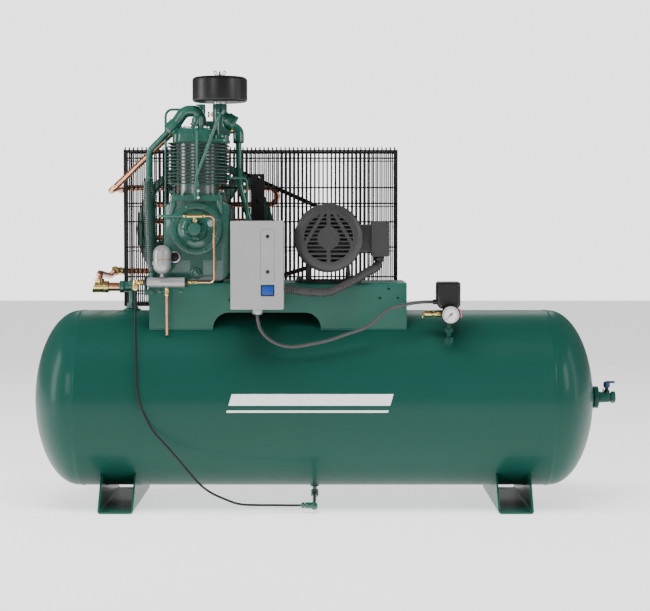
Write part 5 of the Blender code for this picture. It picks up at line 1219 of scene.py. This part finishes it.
# ---------------------------------------------------------------- controls
def build_enclosure():
    gland_x, gland_y = -0.187, -0.24
    left, right, bottom, top = -0.2585, -0.1134, 0.574, 0.8165
    lid_y, front = -0.296, -0.302
    case_outer = prism(rounded((left + 0.0012, bottom + 0.0012), (right - 0.0012, top - 0.0012), 0.003, 4),
        "Y", lid_y + 0.0003, -0.1503)
    case = carved(case_outer, box((left + 0.004, lid_y - 0.01, bottom + 0.004),
        (right - 0.004, -0.153, top - 0.004)))
    gland = spun(pairs(11, 557.5, 14, 560, 15, 564, 15, 574.5), (gland_x, gland_y, 0), "Z", 40)
    ferrule = spun(pairs(5, 554, 7.5, 554.5, 9.5, 558), (gland_x, gland_y, 0), "Z", 32)
    piece("starter_case", "starter_enclosure",
        [(BOX_GREY, [case]), (CAN_GREY, [gland]), (PLASTIC, [ferrule])], bevel=0.0008)
    x, z = -0.157, 0.6262
    panel = rounded((-0.1762, 0.6514), (-0.138, 0.7943), 0.004, 5)
    plate = prism(rounded((left, bottom), (right, top), 0.0035, 5), "Y", front, lid_y)
    lid = carved(plate, prism(panel, "Y", front - 0.01, front + 0.0016),
        box((x - 0.0188, front - 0.01, z - 0.0153), (x + 0.0188, lid_y + 0.01, z + 0.0153)))
    insert = prism(rounded((-0.1754, 0.6522), (-0.1388, 0.7935), 0.0036, 5), "Y", front + 0.0004,
        front + 0.003)
    surround = carved(box((x - 0.0186, front - 0.0004, z - 0.0151), (x + 0.0186, lid_y, z + 0.0151)),
        box((x - 0.0164, front - 0.01, z - 0.0129), (x + 0.0164, lid_y + 0.01, z + 0.0129)))
    screws = []
    for height in (0.7741, 0.6773):
        screws.append(spun(pairs(5, 0, 5, 1, 4.2, 2.4, 2, 2.4, 1.7, 0.8, 0, 0.8), (-0.1568, front + 0.0004,
            height), "-Y", 24))
    piece("starter_lid", "enclosure_cover", [(BOX_GREY, [lid, insert]),
        (PLASTIC, [surround] + screws)], bevel=0.0006)
    cap = [[Vector((a, h, b)) for a, b in rounded((x - 0.0158 + e, z - 0.0123 + e),
        (x + 0.0158 - e, z + 0.0123 - e), 0.002, 4)] for h, e in ((lid_y + 0.004, 0.0),
        (front - 0.002, 0.0), (front - 0.0028, 0.0006), (front - 0.003, 0.0016))]
    piece("reset_cap", "reset_button", [(BLUE, [skin(cap)])], body="button")


def build_switch_group():
    x, y = 0.347, -0.182
    stand = spun(pairs(0, 490.8, 7, 490.8, 7, 571.8, 0, 571.8), (x, y, 0), "Z", 28)
    nut = [hexagon((x, y, 0.5045), "Z", 0.0125, 0.0105), hexagon((x, y, 0.53), "Z", 0.0105, 0.006)]
    block = box((0.3312, y - 0.0158, 0.5442), (0.3628, y + 0.0158, 0.5688))
    link = rod(0.0072, "Y", (0.3488, 0, 0.5563), -0.2157, -0.19, 24)
    link_nut = hexagon((0.3488, -0.202, 0.5563), "-Y", 0.0085, 0.011)
    lever_boss = rod(0.005, "X", (0, y, 0.56), 0.29, 0.332, 20)
    valve = [spun(pairs(3.5, 279.2, 8.2, 279.5, 8.6, 281, 8.6, 298, 7.5, 300, 6.6, 302, 6.6, 306, 8, 306.5,
        8, 320), (0, y, 0.5575), "X", 32), hexagon((0.313, y, 0.5575), "X", 0.0098, 0.013),
        spun(pairs(7, 325, 7, 333), (0, y, 0.5575), "X", 24)]
    piece("riser_column", "tank_riser", [(TANK_GREEN, [stand] + nut),
        (PLASTIC, [block, link, link_nut]), (BRASS, valve)], bevel=0.0006)

    left, right, low, high = 0.3127, 0.3781, 0.5721, 0.6468
    outline = [(right, low + 0.01), (right, high - 0.006)] + arc((right - 0.006, high - 0.006), 0.006, 0,
        90, 5)[1:]
    outline += arc((left + 0.006, high - 0.006), 0.006, 90, 180, 5) + [(left, low + 0.014),
        (left + 0.01, low), (right - 0.008, low)]
    levels = pairs(-141, 1, -142, 0, -208, 0, -212, 1.2, -215, 5.5)
    middle = ((left + right) / 2, (low + high) / 2)
    rings = []
    for depth, inset in levels:
        scale = 1 - inset / 0.0327
        rings.append([Vector((middle[0] + (a - middle[0]) * scale, depth, middle[1]
            + (b - middle[1]) * scale)) for a, b in outline])
    gland = [spun(pairs(5.8, 0, 7.2, 2, 7.6, 11), (0.302, -0.18, 0.5902), "X", 24)]
    base = [prism(rounded((0.33, -0.2), (0.364, -0.15), 0.004), "Z", 0.569, 0.573)]
    piece("switch_cover", "pressure_switch", [(PLASTIC, [skin(rings)] + gland),
        (ZINC, base)], bevel=0.0004, sharp=24)
    lever = pairs(370.6, 566, 374, 565, 379.5, 548, 381, 547, 383.5, 547, 384.3, 548.5, 380, 570, 374,
        571.5, 371.4, 570)
    piece("unload_tab", "switch_lever", [(RED, [prism(lever, "Y", -0.185, -0.171)])],
        body="unload_lever", bevel=0.0005)

    gx, gz, face = 0.3488, 0.5563, -0.2372
    case = spun(pairs(0, -216, 23.5, -216, 25.8, -217.2, 26.2, -219, 26.2, -237, 27, -238, 27, -241.2,
        26.2, -242.8, 25, -243, 24, -242.4, 23.6, -240.5, 23.6, -236.6, 0, -236.6), (gx, 0, gz), "Y", 72)
    dial = spun([(0, -0.2362), (0.0235, -0.2362), (0.0235, face), (0, face)], (gx, 0, gz), "Y", 64)
    marks, reds = [], []
    for k in range(31):
        turn = math.radians(225 - 9 * k)
        long = k % 5 == 0
        inner, outer, half = (0.0165 if long else 0.0182), 0.0205, (0.0005 if long else 0.00026)
        out = Vector((math.cos(turn), 0, math.sin(turn)))
        side = Vector((-out.z, 0, out.x))
        middle = Vector((gx, 0, gz))
        corners = [middle + out * a + side * b for a, b in ((inner, -half), (outer, -half), (outer, half),
            (inner, half))]
        (reds if k == 27 else marks).append(prism([(p.x, p.z) for p in corners], "Y", face - 0.00025,
            face + 0.0001))
    scale = [Vector((gx + 0.0208 * math.cos(t), face - 0.0001, gz + 0.0208 * math.sin(t)))
        for t in (math.radians(225 - 270 * k / 54) for k in range(55))]
    marks.append(sweep([(p, 0.00022) for p in scale], 6))
    piece("gauge_case", "pressure_gauge", [(BLACK, [case]), (ENAMEL, [dial]),
        (PLASTIC, marks), (RED, reds)])
    out, side = Vector((-1, 0, -1)).normalized(), Vector((1, 0, -1)).normalized()
    middle = Vector((gx, 0, gz))
    flat = [middle + out * a + side * b for a, b in pairs(17, 0.12, 3, 0.8, -1, 1.6, -6.8, 1.7, -7.2, 0,
        -6.8, -1.7, -1, -1.6, 3, -0.8, 17, -0.12)]
    hub = spun(pairs(2.4, -238, 2.4, -239.4, 1.8, -240, 0, -240.1), (gx, 0, gz), "Y", 28)
    piece("needle_hand", "gauge_needle",
        [(PLASTIC, [prism([(p.x, p.z) for p in flat], "Y", -0.239, -0.238), hub])], body="needle")

    centre = Vector((0.2735, y, 0.55))
    loop = sweep([(centre + Vector((0, math.cos(t), math.sin(t))) * 0.0082, 0.0012)
        for t in (2 * math.pi * k / 40 for k in range(40))], 10, closed=True)
    stem = spun(pairs(3, 272.2, 3.4, 273, 3.4, 275.5, 2.4, 276, 2.4, 290), (0, y, 0.5575), "X", 20)
    piece("relief_pull", "safety_valve_ring", [(BRASS, [loop, stem])], body="relief_ring")


def build_outlet():
    stem_x = 0.8208
    face, z = 0.7791, TANK_Z
    body = spun([(0.0085, face), (0.018, face), (0.0316, 0.7815), (0.032, 0.7822), (0.032, 0.794),
        (0.0312, 0.7948), (0.0145, 0.7958), (0.014, 0.7975), (0.015, 0.8), (0.0152, 0.806), (0.015, 0.827),
        (0.014, 0.829), (0.0125, 0.83), (0.0125, 0.832), (0.0085, 0.832)], (0, 0, z), "X", 56, closed=True)
    nut = spun(pairs(8.5, 831.8, 16, 831.8, 17.2, 833, 17.2, 844, 16.2, 845.3, 8.5, 845.3), (0, 0, z), "X",
        6, closed=True)
    stem = spun([(0.0085, z + 0.01), (0.0085, z + 0.0165), (0.0068, z + 0.0185), (0.0055, z + 0.019),
        (0.0055, 0.332)], (stem_x, 0, 0), "Z", 32)
    pack_nut = hexagon((stem_x, 0, z + 0.015), "Z", 0.0092, 0.006)
    flats = [hexagon((0.7992, 0, z), "X", 0.0165, 0.006)]
    stop = [box((0.8085, -0.003, z + 0.012), (0.8115, 0.003, z + 0.0262))]
    piece("outlet_body", "outlet_valve", [(TANK_GREEN, [body, nut] + flats),
        (BLACK, [stem, pack_nut] + stop)], bevel=0.0005)
    boss = spun(pairs(0, 332.3, 7.2, 332.3, 9.8, 334.8, 9.8, 348, 8.8, 349.2, 0, 349.4), (stem_x, 0, 0),
        "Z", 40)
    grip = [[Vector((stem_x + a, w * s, h)) for w, h in rounded((-0.0065, 0.3455), (0.0065, 0.3515), 0.002,
        4)] for a, s in ((0.0, 0.92), (0.008, 0.86), (0.016, 1.0), (0.0215, 0.96), (0.0232, 0.78))]
    nut = hexagon((stem_x, 0, 0.3492), "Z", 0.005, 0.0024)
    piece("valve_lever", "outlet_handle", [(LEVER_BLUE, [boss, skin(grip)]),
        (ZINC, [nut])], body="valve_handle", bevel=0.0003)


def finish_inner_parts():
    """Materials for the inner CAD parts that stay as they are."""
    looks = {"crankshaft": STEEL, "front_bearing": STEEL, "rear_bearing": STEEL, "motor_shaft": STEEL,
        "motor_fan": PLASTIC, "low_pressure_piston": ALLOY, "high_pressure_piston": ALLOY}
    for name, look in looks.items():
        for slot in bpy.data.objects[name].material_slots:
            slot.material = look


build_tank()
build_feet()
build_platform()
build_crankcase()
build_cylinder("low_barrel", "low_pressure_cylinder", LOW_Y, LOW_BORE, 0.0615, 0.0735,
    pairs(-70, -60, 70, -60, -70, 60, 70, 60))
build_cylinder("high_barrel", "high_pressure_cylinder", HIGH_Y, HIGH_BORE, 0.046, 0.0565,
    pairs(-62, -44, 62, -44, -62, 44, 62, 44))
build_heads()
build_intake()
build_interstage()
build_discharge()
build_small_lines()
build_manifold()
build_drain()
build_flywheel()
build_belts()
build_motor()
build_guard()
build_enclosure()
build_switch_group()
build_outlet()
finish_inner_parts()
